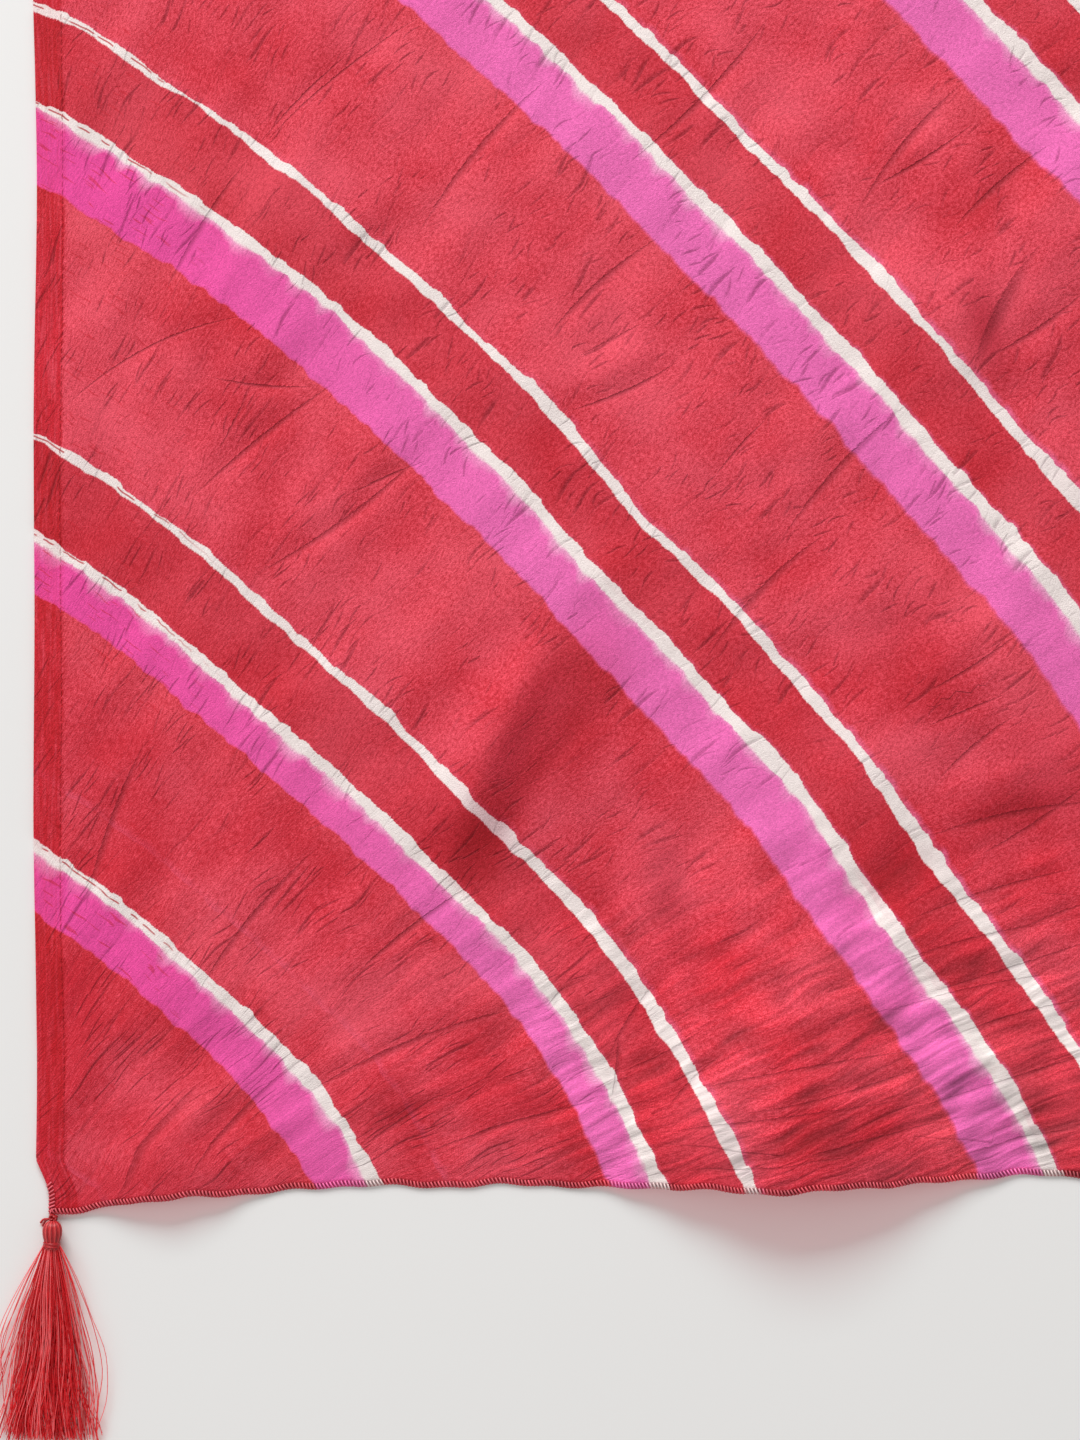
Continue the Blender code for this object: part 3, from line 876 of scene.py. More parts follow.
def walled_cloth():
    maker = bpy.data.objects.new("cloth_maker", shell_mesh)
    bpy.context.scene.collection.objects.link(maker)
    wall = maker.modifiers.new("wall", "SOLIDIFY")
    wall.thickness = SHELL
    wall.offset = 0.0
    wall.use_even_offset = False
    bpy.context.view_layer.update()
    made = plain_mesh_of(maker, "dyed_cloth_sheet")
    made.data.shade_smooth()
    return made


cloth = walled_cloth()
triangles = sum(len(face.vertices) - 2 for face in cloth.data.polygons)
lowest = min(vert.co.z for vert in cloth.data.vertices)
print("The cloth has", triangles, "triangles, and its lowest point is at", lowest)

# %% [markdown]
# ## Helpers for the materials
# Node trees are wired by short calls. A Wire is the output of a node, and it takes part in sums like a
# number: each sum adds a node and hands back that node's own output. The patterns are node groups that
# put out only colours, masks and heights.

# %% Wires, which add up like numbers
class Wire:
    """A node's output. The tree that it belongs to is where its sums put their nodes."""

    def __init__(self, socket):
        self.socket = socket
        self.tree = socket.id_data

    def __add__(self, other):
        return calc("ADD", self, other)

    def __sub__(self, other):
        return calc("SUBTRACT", self, other)

    def __rsub__(self, other):
        return calc("SUBTRACT", other, self)

    def __mul__(self, other):
        return calc("MULTIPLY", self, other)

    def __truediv__(self, other):
        return calc("DIVIDE", self, other)

    def __neg__(self):
        return calc("MULTIPLY", self, -1.0)

    def __abs__(self):
        return calc("ABSOLUTE", self)

    __radd__ = __add__
    __rmul__ = __mul__


def feed(socket, value):
    if isinstance(value, Wire):
        value.tree.links.new(value.socket, socket)
    elif value is not None:
        socket.default_value = value


def wired(tree, kind, *values, output=0, setup=(), **named):
    """Adds a node, feeds its sockets in turn or by name, and hands back one of its outputs."""
    node = tree.nodes.new(kind)
    for label, value in dict(setup).items():
        setattr(node, label, value)
    for socket, value in zip(node.inputs, values):
        feed(socket, value)
    for label, value in named.items():
        feed(node.inputs[label.replace("_", " ")], value)
    return Wire(node.outputs[output])


def tree_of(*values):
    return next(value.tree for value in values if isinstance(value, Wire))


def calc(operation, *values):
    return wired(tree_of(*values), "ShaderNodeMath", *values, setup={"operation": operation})


def larger(first, second):
    return calc("MAXIMUM", first, second)


def smaller(first, second):
    return calc("MINIMUM", first, second)


def between(value, low, high, start=0.0, end=1.0):
    """start where value is low and end where it is high, with a smooth step from one to the other."""
    smooth = {"interpolation_type": "SMOOTHSTEP"}
    return wired(value.tree, "ShaderNodeMapRange", value, low, high, start, end, setup=smooth)


print("Sums of wires add their own nodes")


# %% Places, clouds and colours
def vector_of(x, y, z=0.0):
    return wired(tree_of(x, y, z), "ShaderNodeCombineXYZ", x, y, z)


def parts_of(vector):
    first = wired(vector.tree, "ShaderNodeSeparateXYZ", vector)
    return [Wire(socket) for socket in first.socket.node.outputs]


def place_of(x, y, seed=0.0):
    """A place in a flat noise. Another seed looks at another part of it."""
    return vector_of(x + 13.7 * seed if seed else x, y)


def cloud(place, scale=1.0, detail=1.0, roughness=0.5, flat=True):
    sizes = {"Scale": scale, "Detail": detail, "Roughness": roughness}
    kind = {"noise_dimensions": "2D" if flat else "3D"}
    return wired(place.tree, "ShaderNodeTexNoise", output="Fac", setup=kind, Vector=place, **sizes)


def tinted(share, first, second, mode="MIX"):
    """first, with a share of second mixed in. The mode MULTIPLY lays second over it as a wash."""
    node = tree_of(share, first, second).nodes.new("ShaderNodeMix")
    node.data_type = "RGBA"
    node.blend_type = mode
    for place, value in ((0, share), (6, first), (7, second)):
        feed(node.inputs[place], value)
    return Wire(node.outputs[2])


def washed(share, colour, wash):
    return tinted(share, colour, (*wash, 1.0), "MULTIPLY")


def dye(red, green, blue):
    """A colour as it looks on a screen, from 0 to 255, as the linear colour that a shader takes."""
    shares = [value / 255 for value in (red, green, blue)]
    linear = [s / 12.92 if s <= 0.04045 else ((s + 0.055) / 1.055) ** 2.4 for s in shares]
    return (*linear, 1.0)


VECTOR, FLOAT, COLOUR = "NodeSocketVector", "NodeSocketFloat", "NodeSocketColor"
GEOMETRY, WHOLE, FINISH = "NodeSocketGeometry", "NodeSocketInt", "NodeSocketMaterial"


def new_tree(name, kind, inputs, outputs):
    """A tree with named inputs, as wires, and the sockets that its outputs are fed through."""
    tree = bpy.data.node_groups.new(name, kind)
    for way, sockets in (("INPUT", inputs), ("OUTPUT", outputs)):
        for label, socket_kind in sockets.items():
            tree.interface.new_socket(label, in_out=way, socket_type=socket_kind)
    given = {socket.name: Wire(socket) for socket in tree.nodes.new("NodeGroupInput").outputs}
    return tree, given, tree.nodes.new("NodeGroupOutput").inputs


print("Red dye in linear light:", tuple(round(value, 3) for value in dye(210, 67, 82)))

# %% [markdown]
# ## Crinkle and weave
# Close to, the crepe has three scales of relief: a fine grain where the twisted threads pull, streaks
# about a millimetre apart that run along the crinkle, and sparse sharp creases a centimetre or two long.
# They share one group, because the colour follows them too: the creases are painted darker as shade, and
# the red is paler on the streaks' backs.

# %% Pressed strokes: short tapering creases, one in a cell
STROKE_LEAN = 5.0
STROKE_BOW = 3.0
FINE_STROKES = {"cell": (4.2, 15.0), "half_length": 8.5, "half_width": 0.22, "layer": 1}
LONG_STROKES = {"cell": (11.0, 34.0), "half_length": 19.0, "half_width": 0.42, "layer": 2}


def pressed(side, taper, half_width):
    """The groove of a pressed line, 0 to 1, sharp on its upper side and soft on its lower one."""
    share = side / half_width
    soft = between(share, -4.5, -0.2)
    return between(share, 1.0, 0.1) * (soft * soft) * taper


def stroke_layer(over, lengthwise, cell, half_length, half_width, layer):
    """cell is the room for one stroke, over the crinkles and along them, in millimetres."""
    x = over * (1 / cell[0]) + layer * 31.7
    y = lengthwise * (1 / cell[1]) + layer * 17.1
    flat = {"voronoi_dimensions": "2D"}
    place = vector_of(x, y)
    found = wired(over.tree, "ShaderNodeTexVoronoi", setup=flat, Vector=place, Scale=1.0, Randomness=0.9)
    outputs = found.socket.node.outputs
    middle_x, middle_y, _ = parts_of(Wire(outputs["Position"]))
    lean_chance, bow_chance, size_chance = parts_of(Wire(outputs["Color"]))
    share = (y - middle_y) * (cell[1] / half_length)
    side = (x - middle_x) * cell[0]
    side = side + share * (lean_chance * STROKE_LEAN - STROKE_LEAN / 2)
    side = side + share * share * (bow_chance * STROKE_BOW - STROKE_BOW / 2)
    taper = larger(1.0 - share * share, 0.0)
    width = (taper * half_width + 0.05) * (size_chance + 0.5)
    return pressed(side, taper, width) * between(size_chance, 0.25, 0.75)


print("Strokes are drawn one in a cell, so they never cross")

# %% The crinkle group
# pitches are in noise cells to the millimetre, over the crinkles and along them, and heights in millimetres
WANDER = 4.5
STREAK_PITCH_ALONG = 0.34
RIPPLE_PITCH = (0.17, 0.024)
SATIN_PITCH = (0.055, 0.032)
GRAIN_PITCH = 2.1
STREAK_HEIGHT = 0.18
CREASE_DEPTH = 0.46
GRAIN_HEIGHT = 0.27
RIPPLE_HEIGHT = 1.2


def crinkle_group():
    inputs = dict.fromkeys(("Crinkle place", "Laid place"), VECTOR)
    inputs.update({f"Pressed line {i + 1}": VECTOR for i in range(HAND_LINES)})
    outputs = dict.fromkeys(("Streaks", "Creases", "Grain", "Height", "Ripple light and shade"), FLOAT)
    tree, given, put_out = new_tree("crepe_crinkle", "ShaderNodeTree", inputs, outputs)
    over, lengthwise, _ = parts_of(given["Crinkle place"])
    across, along, _ = parts_of(given["Laid place"])

    bent_over = over + cloud(place_of(across, along, 3.0), 0.06, 0.0) * WANDER
    streaks = cloud(place_of(bent_over, lengthwise * STREAK_PITCH_ALONG, 1.0), 1.0, 2.0, 0.7)
    grain = cloud(place_of(across * GRAIN_PITCH, along * GRAIN_PITCH, 2.0), 1.0, 2.0, 0.85)

    # the near right of the photo is smooth and satiny, and elsewhere strokes gather in clouds
    smooth_here = between(across, 150.0, 300.0) * between(along, 220.0, 90.0)
    gathered_here = between(cloud(place_of(over, lengthwise, 9.0), 0.030), 0.44, 0.60)
    fine = stroke_layer(bent_over, lengthwise, **FINE_STROKES) * (smooth_here * -0.70 + 0.75)
    long = stroke_layer(bent_over, lengthwise, **LONG_STROKES) * (smooth_here * -0.45 + 1.0)
    creases = larger(fine, long) * (gathered_here * 0.78 + 0.22)
    for i in range(HAND_LINES):
        side, taper, width = parts_of(given[f"Pressed line {i + 1}"])
        by_hand = pressed(side - 0.45 + streaks * 0.9, taper, larger(width * taper, 0.03))
        creases = larger(creases, by_hand * (smooth_here * -0.35 + 1.0))

    # long ripples run out to the near end, and most on the right
    ripples = cloud(place_of(bent_over * RIPPLE_PITCH[0], lengthwise * RIPPLE_PITCH[1], 6.0), 1.0, 1.0, 0.55)
    painted_sheen = cloud(place_of(bent_over * SATIN_PITCH[0], lengthwise * SATIN_PITCH[1], 4.0))
    near_end = between(along, 45.0, 150.0, 1.0, 0.15) * between(across, 90.0, 290.0, 0.25, 1.0)

    height = streaks * (smooth_here * (-STREAK_HEIGHT / 2) + STREAK_HEIGHT)
    height = height - creases * CREASE_DEPTH + grain * GRAIN_HEIGHT + ripples * near_end * RIPPLE_HEIGHT
    feed(put_out["Streaks"], streaks)
    feed(put_out["Creases"], creases)
    feed(put_out["Grain"], grain)
    feed(put_out["Height"], height)
    # painted light and shade: satin sheen patches and the ripples, strongest near the end and on the right
    feed(put_out["Ripple light and shade"], ((painted_sheen - 0.5) * 0.9 + (ripples - 0.5)) * near_end)
    return tree


crepe_crinkle = crinkle_group()
print("The crinkle group has", len(crepe_crinkle.nodes), "nodes")

# %% [markdown]
# ## The leheriya dye
# One group draws all the stripes from the count. The white line is where the binding thread kept the dye
# out: crisp on its upper side, feathered on the lower one, with small swellings where the thread was
# knotted. A thinner line goes with it. Pink dye lies below the main line, and its far edge met the red in
# a thin orange seam.

# %% The dye's colours
RED = dye(202, 28, 46)
RED_WORN = dye(233, 82, 101)
RED_DEEP = dye(186, 20, 36)
PINK = dye(236, 106, 178)
PINK_DEEP = dye(234, 72, 154)
PINK_PALE = dye(244, 180, 212)
BARE = dye(242, 229, 226)
SEAM = dye(224, 58, 48)
HALO = dye(240, 122, 172)
WHITE = (1.0, 1.0, 1.0, 1.0)

# washes, which multiply the colour under them: painted shade, and painted light on the folds' backs
CREASE_SHADE_WASH = (0.52, 0.40, 0.46)
FOLD_SHADE_WASH = (0.66, 0.26, 0.36)
FOLD_LIGHT_WASH = (1.14, 1.34, 1.26)
LIFT_SHADE_WASH = (0.80, 0.62, 0.66)
HEM_SHADE_WASH = (0.80, 0.16, 0.26)
SEWN_SHADE_WASH = (0.50, 0.30, 0.34)

THIN_LINE_SHARE = 0.22
PINK_SHARE = 0.195
print("The thin line lies", THIN_LINE_SHARE, "of a stripe above the main one, and the pink takes", PINK_SHARE)

# %% Distances from the lines
KNOTS_PER_MM = 0.050
LINE_SWELLING = 1.8
LINE_WIDTH = 1.80
WIDER_ACROSS = 0.0027
NARROWER_ALONG = 0.0012
WIDTH_STEADY_FROM = 420.0
THIN_LINE_WIDTH = 0.92


def line_distance(count, spacing, offset, wobble):
    """Millimetres from the nearest line, above it where positive. offset is the line's share of a stripe."""
    shifted = count + (0.5 - offset)
    centred = calc("FRACT", shifted) - 0.5
    return centred * spacing + wobble, calc("FLOOR", shifted)


def line_mask(distance, number, along_stripe, half_width, soft_below, fibres):
    """1 in the bare line and 0 outside it. Its sides wander apart, and swell where the thread was knotted."""
    line = {"voronoi_dimensions": "1D"}
    knot_place = number * 17.3 + along_stripe * KNOTS_PER_MM
    knots = wired(number.tree, "ShaderNodeTexVoronoi", setup=line, W=knot_place, Scale=1.0)
    knotted = between(knots, 0.07, 0.13, 0.50, 0.0)
    swelling = cloud(place_of(along_stripe * 0.045, number, 3.0), 1.0, 0.0)
    middle = swelling * LINE_SWELLING + (half_width - LINE_SWELLING / 2)
    sides = []
    for way, pitch, depth in ((1.0, 0.17, 1.0), (-1.0, 0.13, 1.1)):
        wander = cloud(place_of(along_stripe * pitch, number, 7.0 + way))
        sides.append(middle + (wander * depth - depth / 2) + fibres)
    upper, lower = sides[0] + knotted, sides[1]
    mask = between(upper - distance, -0.15, 0.28) * between(lower + distance, -soft_below, 0.35)
    return mask, upper, lower


def both_lines(count, along_stripe, spacing, wide, feather, wobble, fibres):
    """For the main line and for the thin one: the distance from it, its mask, its sides and its number."""
    main, main_number = line_distance(count, spacing, 0.0, wobble)
    thin, thin_number = line_distance(count, spacing, THIN_LINE_SHARE, wobble)
    thin_wide, thin_place = wide * THIN_LINE_WIDTH, thin_number + 0.41
    main_line = line_mask(main, main_number, along_stripe, wide, feather, fibres)
    thin_line = line_mask(thin, thin_place, along_stripe, thin_wide, 0.35, fibres)
    return (main, *main_line, main_number), (thin, *thin_line, thin_place)


print("Lines are knotted about every", round(1 / KNOTS_PER_MM), "mm")


# %% The red ground and the pink band
def red_ground(given, main, thin, has_thin_line, broad, along):
    """Red that is worn paler on the streaks' backs, and deeper between a line and the thin one above it."""
    worn = given["Streaks"] * 1.4 + (given["Grain"] * 1.8 - 1.6)
    worn = worn + (broad * 1.9 + between(along, 40.0, 380.0, -0.56, -0.38))
    ground = tinted(between(worn, -0.3, 1.3), RED, RED_WORN)
    between_lines = between(main, 0.0, 1.0) * between(thin, 0.0, -1.0, 0.0, 0.34)
    return tinted(between_lines * has_thin_line, ground, RED_DEEP)


def pink_band(main, spacing, across, edge_noise, fibres):
    """Two masks: the band below the main line, and the orange seam where its far edge met the red."""
    pink_depth = spacing * PINK_SHARE + (edge_noise * 3.4 - 1.7)
    into_pink = main + pink_depth + fibres * between(across, 60.0, 330.0, 0.7, 0.20)
    edge_soft = between(across, 60.0, 330.0, 0.35, 1.05)
    pink = between(into_pink, -edge_soft, edge_soft) * between(main, 0.5, -0.5)
    seam = between(abs(into_pink), 0.0, 1.0, 0.30, 0.0) * between(main, 0.0, -4.0)
    return pink, seam


def pink_colour(main, main_lower, across, feather, broad):
    """The band's own colour, deeper at the left edge and paler where the line bled into it."""
    below_line = -main - main_lower
    pale = between(below_line / (feather * 2.6 + 0.8), 0.0, 1.2, 0.75, 0.0)
    pale = pale * between(broad, 0.36, 0.58, 0.35, 1.0)
    return tinted(pale, tinted(between(across, 10.0, 190.0), PINK_DEEP, PINK), PINK_PALE)


def line_halo(main, main_upper, thin, thin_upper, across, edge_noise):
    """A breath of pink above both lines, strongest on the right."""
    above_thin, above_main = thin - thin_upper, main - main_upper
    thin_halo = between(above_thin, -0.4, 2.8, 0.9, 0.0) * between(above_thin, -1.0, -0.4)
    main_halo = between(above_main, 0.0, 1.6, 0.55, 0.0) * between(above_main, -1.0, 0.0)
    halo = (thin_halo + main_halo) * between(across, 120.0, 380.0, 0.10, 0.75)
    return halo * between(edge_noise, 0.36, 0.60, 0.35, 1.0)


print("The pink band is about", round(LINE_SPACING * PINK_SHARE), "mm wide before its edge wanders")


# %% What the binding did to the dye, and painted light and shade on creases, ripples, folds and edges
def slits_and_flecks(main, thin, across, along_stripe, count, slow):
    """Near the left edge the lines are slit by red threads, and flecks of red lie beside them."""
    left = between(across, 34.0, 74.0, 1.0, 0.0)
    slit_middle = slow * 3.0 - 1.3
    slit = larger(*[between(abs(distance - slit_middle), 0.12, 0.46, 1.0, 0.0) for distance in (main, thin)])
    slit_noise = cloud(place_of(along_stripe * 0.12, count * 2.0, 12.0))
    fleck_noise = cloud(place_of(along_stripe * 0.085, main * 0.85, 5.0))
    fleck = between(fleck_noise, 0.68, 0.73, 0.0, 0.55)
    return slit * between(slit_noise, 0.47, 0.52) * left * 0.85, fleck * left


def mottled_and_shaded(given, colour, bare, pink):
    """Streaks and grain mottle the colour, less on the bare lines. Ripples get painted light and shade,
    creases painted shade.
    """
    grey = (given["Streaks"] * 0.60 + 0.70) * (given["Grain"] * 0.80 + 0.60)
    mottle = tinted(bare * 0.70, vector_of(grey, grey, grey), WHITE)
    colour = tinted(1.0, colour, mottle, "MULTIPLY")
    # painted light and shade of the ripples and the satin sheen
    ripple_light_and_shade = given["Ripple light and shade"] * 1.05 + 1.02
    colour = tinted(1.0, colour, vector_of(ripple_light_and_shade, ripple_light_and_shade, ripple_light_and_shade), "MULTIPLY")
    # painted shade in the creases
    return washed(given["Creases"] * (bare * -0.35 + 0.75), colour, CREASE_SHADE_WASH)


def painted_fold_shade(given, colour, bare, pink, rise):
    # painted shade in the folds, and painted light on their backs
    plainer = (pink * -0.45 + 1.0) - bare * 0.45
    colour = washed(between(given["Pooled"], 0.0, 1.0, 0.0, 0.88) * plainer, colour, FOLD_SHADE_WASH)
    colour = washed(between(given["Pooled"], 0.0, -0.8, 0.0, 0.78) * plainer, colour, FOLD_LIGHT_WASH)
    # painted shade: the cloth is darker where it is lifted off the pale floor
    return washed(between(rise, 1.0, 15.0, 0.0, 0.25), colour, LIFT_SHADE_WASH)


def shaded_hem_and_ends(given, colour, bare, pink, across, along):
    """Painted shade: the doubled hem lets less of the floor's light through, and the stitches shade the sewn
    ends.
    """
    to_side = smaller(across, CLOTH_WIDTH / MM - across)
    ragged_side = given["Streaks"] * 3.0 + (to_side - 1.5)
    # painted shade: the doubled hem lets less of the floor's light through
    hem = between(ragged_side, 9.4, 11.6, 1.0, 0.0) * given["Hem depth"]
    hem = hem * (bare * -0.85 + 1.0) * (pink * -0.72 + 1.0)
    hem_streaks = cloud(place_of(across * 1.1, along * 0.06))
    colour = washed(hem * (hem_streaks * 1.8 - 0.05), colour, HEM_SHADE_WASH)
    # painted shade on the cloth under the end's stitches
    to_end = smaller(along, CLOTH_LENGTH / MM - along)
    return washed(between(to_end, 1.7, 2.3, 0.50, 0.0) * given["Hem depth"], colour, SEWN_SHADE_WASH)


print("The hem is deeper red over its", TURNING / MM, "mm")


# %% The dye group
def leheriya_group():
    inputs = dict.fromkeys(("Dye place", "Laid place"), VECTOR)
    inputs.update(dict.fromkeys(("Streaks", "Creases", "Grain", "Ripple light and shade", "Pooled", "Hem depth"), FLOAT))
    outputs = {"Colour": COLOUR, "Bare": FLOAT}
    tree, given, put_out = new_tree("leheriya_dye_and_shade", "ShaderNodeTree", inputs, outputs)
    count, along_stripe, spacing = parts_of(given["Dye place"])
    across, along, rise = parts_of(given["Laid place"])

    slow = cloud(place_of(along_stripe * 0.022, count * 3.0))
    quick = cloud(place_of(along_stripe * 0.13, count * 3.0, 8.0))
    wobble = (slow * 2.4 - 1.2) + (quick * 1.6 - 0.8)
    fibres = given["Streaks"] * 0.7 + (given["Grain"] * 0.7 - 0.7)
    feather = between(cloud(place_of(along_stripe * 0.09, count, 2.0)), 0.38, 0.66, 0.3, 1.8)
    wide = smaller(across, WIDTH_STEADY_FROM) * WIDER_ACROSS + LINE_WIDTH
    wide = wide - smaller(along, WIDTH_STEADY_FROM) * NARROWER_ALONG
    lines = both_lines(count, along_stripe, spacing, wide, feather, wobble, fibres)
    (main, main_line, main_upper, main_lower, main_number), (thin, thin_line, thin_upper, *_) = lines
    has_thin_line = between(count, 0.74, 0.80)
    bare = larger(main_line, thin_line * has_thin_line)

    broad = cloud(place_of(across, along), 0.021, 2.0, 0.6)
    edge_noise = cloud(place_of(along_stripe * 0.11, main_number, 6.0), 1.0, 2.0)
    pink, seam = pink_band(main, spacing, across, edge_noise, fibres)
    colour = red_ground(given, main, thin, has_thin_line, broad, along)
    colour = tinted(pink, colour, pink_colour(main, main_lower, across, feather, broad))
    colour = tinted(seam, colour, SEAM)
    colour = tinted(line_halo(main, main_upper, thin, thin_upper, across, edge_noise), colour, HALO)
    slit, fleck = slits_and_flecks(main, thin, across, along_stripe, count, slow)
    colour = tinted(fleck, colour, RED)
    colour = tinted(bare, colour, BARE)
    colour = tinted(slit * bare, colour, RED_DEEP)

    # painted light and shade follow: creases, ripples, folds, lifted cloth, the doubled hem and the sewn ends
    colour = mottled_and_shaded(given, colour, bare, pink)
    colour = painted_fold_shade(given, colour, bare, pink, rise)
    feed(put_out["Colour"], shaded_hem_and_ends(given, colour, bare, pink, across, along))
    feed(put_out["Bare"], bare)
    return tree


leheriya_dye_and_shade = leheriya_group()
print("The dye group has", len(leheriya_dye_and_shade.nodes), "nodes")


# %% The cloth's material
LIGHT_THROUGH = (0.62, 0.13, 0.20, 1.0)
SHEEN_TINT = (1.0, 0.86, 0.88, 1.0)


def use_group(tree, group, **links):
    """The outputs of a group, by name. Its inputs are given with a low line for each space."""
    node = tree.nodes.new("ShaderNodeGroup")
    node.node_tree = group
    for name, value in links.items():
        feed(node.inputs[name.replace("_", " ").capitalize()], value)
    return {socket.name: Wire(socket) for socket in node.outputs}


def carried(tree, name):
    kind = {"attribute_type": "GEOMETRY", "attribute_name": name}
    return wired(tree, "ShaderNodeAttribute", output="Vector", setup=kind)


def new_material(name, **values):
    made = bpy.data.materials.new(name)
    made.use_nodes = True
    shader = made.node_tree.nodes["Principled BSDF"]
    for label, value in values.items():
        shader.inputs[label.replace("_", " ")].default_value = value
    return made, made.node_tree, shader


def bumped(height, distance, strength):
    sizes = {"Distance": distance, "Strength": strength}
    return wired(height.tree, "ShaderNodeBump", output="Normal", Height=height, **sizes)


def let_light_through(tree, shader, tint):
    """The shadow of thin dyed stuff is tinted, because part of the lamplight passes through it."""
    shadow = wired(tree, "ShaderNodeLightPath", output="Is Shadow Ray")
    through = wired(tree, "ShaderNodeBsdfTransparent", tint)
    both = wired(tree, "ShaderNodeMixShader", shadow, Wire(shader.outputs["BSDF"]), through)
    feed(tree.nodes["Material Output"].inputs["Surface"], both)


def dyed_material(name, hem_depth, bump, thin=False, wash=None):
    """Where the cloth is thin, lamplight passes through both faces of its wall and is tinted by the dye.
    wash is a share and a colour laid over the dye, which makes a thread lighter or darker."""
    sheen = {"Sheen_Weight": 0.10, "Sheen_Roughness": 0.45, "Sheen_Tint": SHEEN_TINT}
    made, tree, shader = new_material(name, Roughness=0.62, IOR=1.42, Specular_IOR_Level=0.34, **sheen)
    laid, crinkled = carried(tree, "laid_place"), carried(tree, "crinkle_place")
    lines = {f"pressed_line_{i + 1}": carried(tree, f"pressed_line_{i + 1}") for i in range(HAND_LINES)}
    crinkle = use_group(tree, crepe_crinkle, crinkle_place=crinkled, laid_place=laid, **lines)
    dyed = use_group(
        tree,
        leheriya_dye_and_shade,
        dye_place=carried(tree, "dye_place"),
        laid_place=laid,
        pooled=parts_of(crinkled)[2],
        hem_depth=hem_depth,
        **{label.lower(): crinkle[label] for label in ("Streaks", "Creases", "Grain", "Ripple light and shade")},
    )
    colour = tinted(wash[0], dyed["Colour"], wash[1]) if wash else dyed["Colour"]
    feed(shader.inputs["Base Color"], colour)
    feed(shader.inputs["Roughness"], between(crinkle["Streaks"], 0.3, 0.7, 0.70, 0.52))
    feed(shader.inputs["Normal"], bumped(crinkle["Height"], MM, bump))
    if thin:
        let_light_through(tree, shader, LIGHT_THROUGH)
    return made


dyed_crepe = dyed_material("dyed_crepe", 1.0, 0.9, thin=True)
cloth.data.materials.clear()
cloth.data.materials.append(dyed_crepe)
print("The crepe's material has", len(dyed_crepe.node_tree.nodes), "nodes")

# %% [markdown]
# ## Tube threads with Geometry Nodes
# Tassel threads, windings and the edge's looper thread are all tubes along a path. One small Geometry
# Nodes tree does them all: it turns loose edges into curves, sweeps a small circle along them, realizes
# the result and gives it a material. Its inputs are named, so that each use sets its own thickness and
# number of sides.

# %% The tube tree
def geometry_tree(name, **inputs):
    sockets = {**inputs, "Finish": FINISH}
    return new_tree(name, "GeometryNodeTree", sockets, {"Made": GEOMETRY})


def tube_along(tree, curve, sides, thickness):
    circle = wired(tree, "GeometryNodeCurvePrimitiveCircle", Resolution=sides, Radius=thickness * 0.5)
    return wired(tree, "GeometryNodeCurveToMesh", Curve=curve, Profile_Curve=circle, Fill_Caps=True)


def ended(tree, geometry, finish, put_out):
    """Realize Instances and Set Material, the last two nodes of every tree here."""
    realized = wired(tree, "GeometryNodeRealizeInstances", Geometry=geometry)
    painted = wired(tree, "GeometryNodeSetMaterial", Geometry=realized, Material=finish)
    feed(put_out["Made"], painted)


def tube_tree():
    tree, given, put_out = geometry_tree("thread_tubes", Paths=GEOMETRY, Thickness=FLOAT, Sides=WHOLE)
    lines = wired(tree, "GeometryNodeMeshToCurve", Mesh=given["Paths"])
    tubes = tube_along(tree, lines, given["Sides"], given["Thickness"])
    ended(tree, tubes, given["Finish"], put_out)
    return tree


thread_tubes = tube_tree()
print("The tube tree has", len(thread_tubes.nodes), "nodes")


# %% Run a tree over some paths
def path_mesh(name, paths, attributes=()):
    """Loose edges along each path. attributes holds (name, values), one vector for every point."""
    points, edges = [], []
    for path in paths:
        start = len(points)
        points += [tuple(point) for point in path]
        edges += [(start + i, start + i + 1) for i in range(len(path) - 1)]
    mesh = bpy.data.meshes.new(name)
    mesh.from_pydata(points, edges, [])
    for label, values in attributes:
        carry(mesh, label, values)
    return mesh


def grown(name, mesh, tree, smooth=True, **settings):
    """Runs a Geometry Nodes tree over a mesh and keeps the result as a plain mesh of its own."""
    maker = bpy.data.objects.new(name + "_maker", mesh)
    bpy.context.scene.collection.objects.link(maker)
    modifier = maker.modifiers.new("grow", "NODES")
    modifier.node_group = tree
    for item in tree.interface.items_tree:
        if item.in_out == "INPUT" and item.name in settings:
            modifier[item.identifier] = settings[item.name]
    bpy.context.view_layer.update()
    made = plain_mesh_of(maker, name)
    made.data.polygons.foreach_set("use_smooth", [smooth] * len(made.data.polygons))
    return made


print("Trees can now be run over paths")

# %% [markdown]
# ## The overlocked ends
# Both short ends are overlocked: a needle thread holds slanted loops that wrap the cut edge, and a looper
# thread runs along it like a fine cord. Each stitch is the same little bent tube, so Geometry Nodes sets
# one on every step of a path that follows the edge. The thread went through the dye with the cloth, so it
# carries the stripes as well.

# %% The path round one end
STITCH_STEP = 0.0013
EDGE_SIDE_RUN = 0.0100
EDGE_SIDE_STEPS = 5
EDGE_STEPS = 700


def edge_path(end):
    """Places up one side, along the end and down the other side, with the cloth on the left."""
    run = [EDGE_SIDE_RUN * (1 - i / EDGE_SIDE_STEPS) for i in range(EDGE_SIDE_STEPS)]
    places = [(0.0, length) for length in run]
    places += [(CLOTH_WIDTH * i / EDGE_STEPS, 0.0) for i in range(EDGE_STEPS + 1)]
    places += [(CLOTH_WIDTH, length) for length in reversed(run)]
    if end:
        places = [(CLOTH_WIDTH - across, CLOTH_LENGTH - along) for across, along in places]
    return np.array(places)


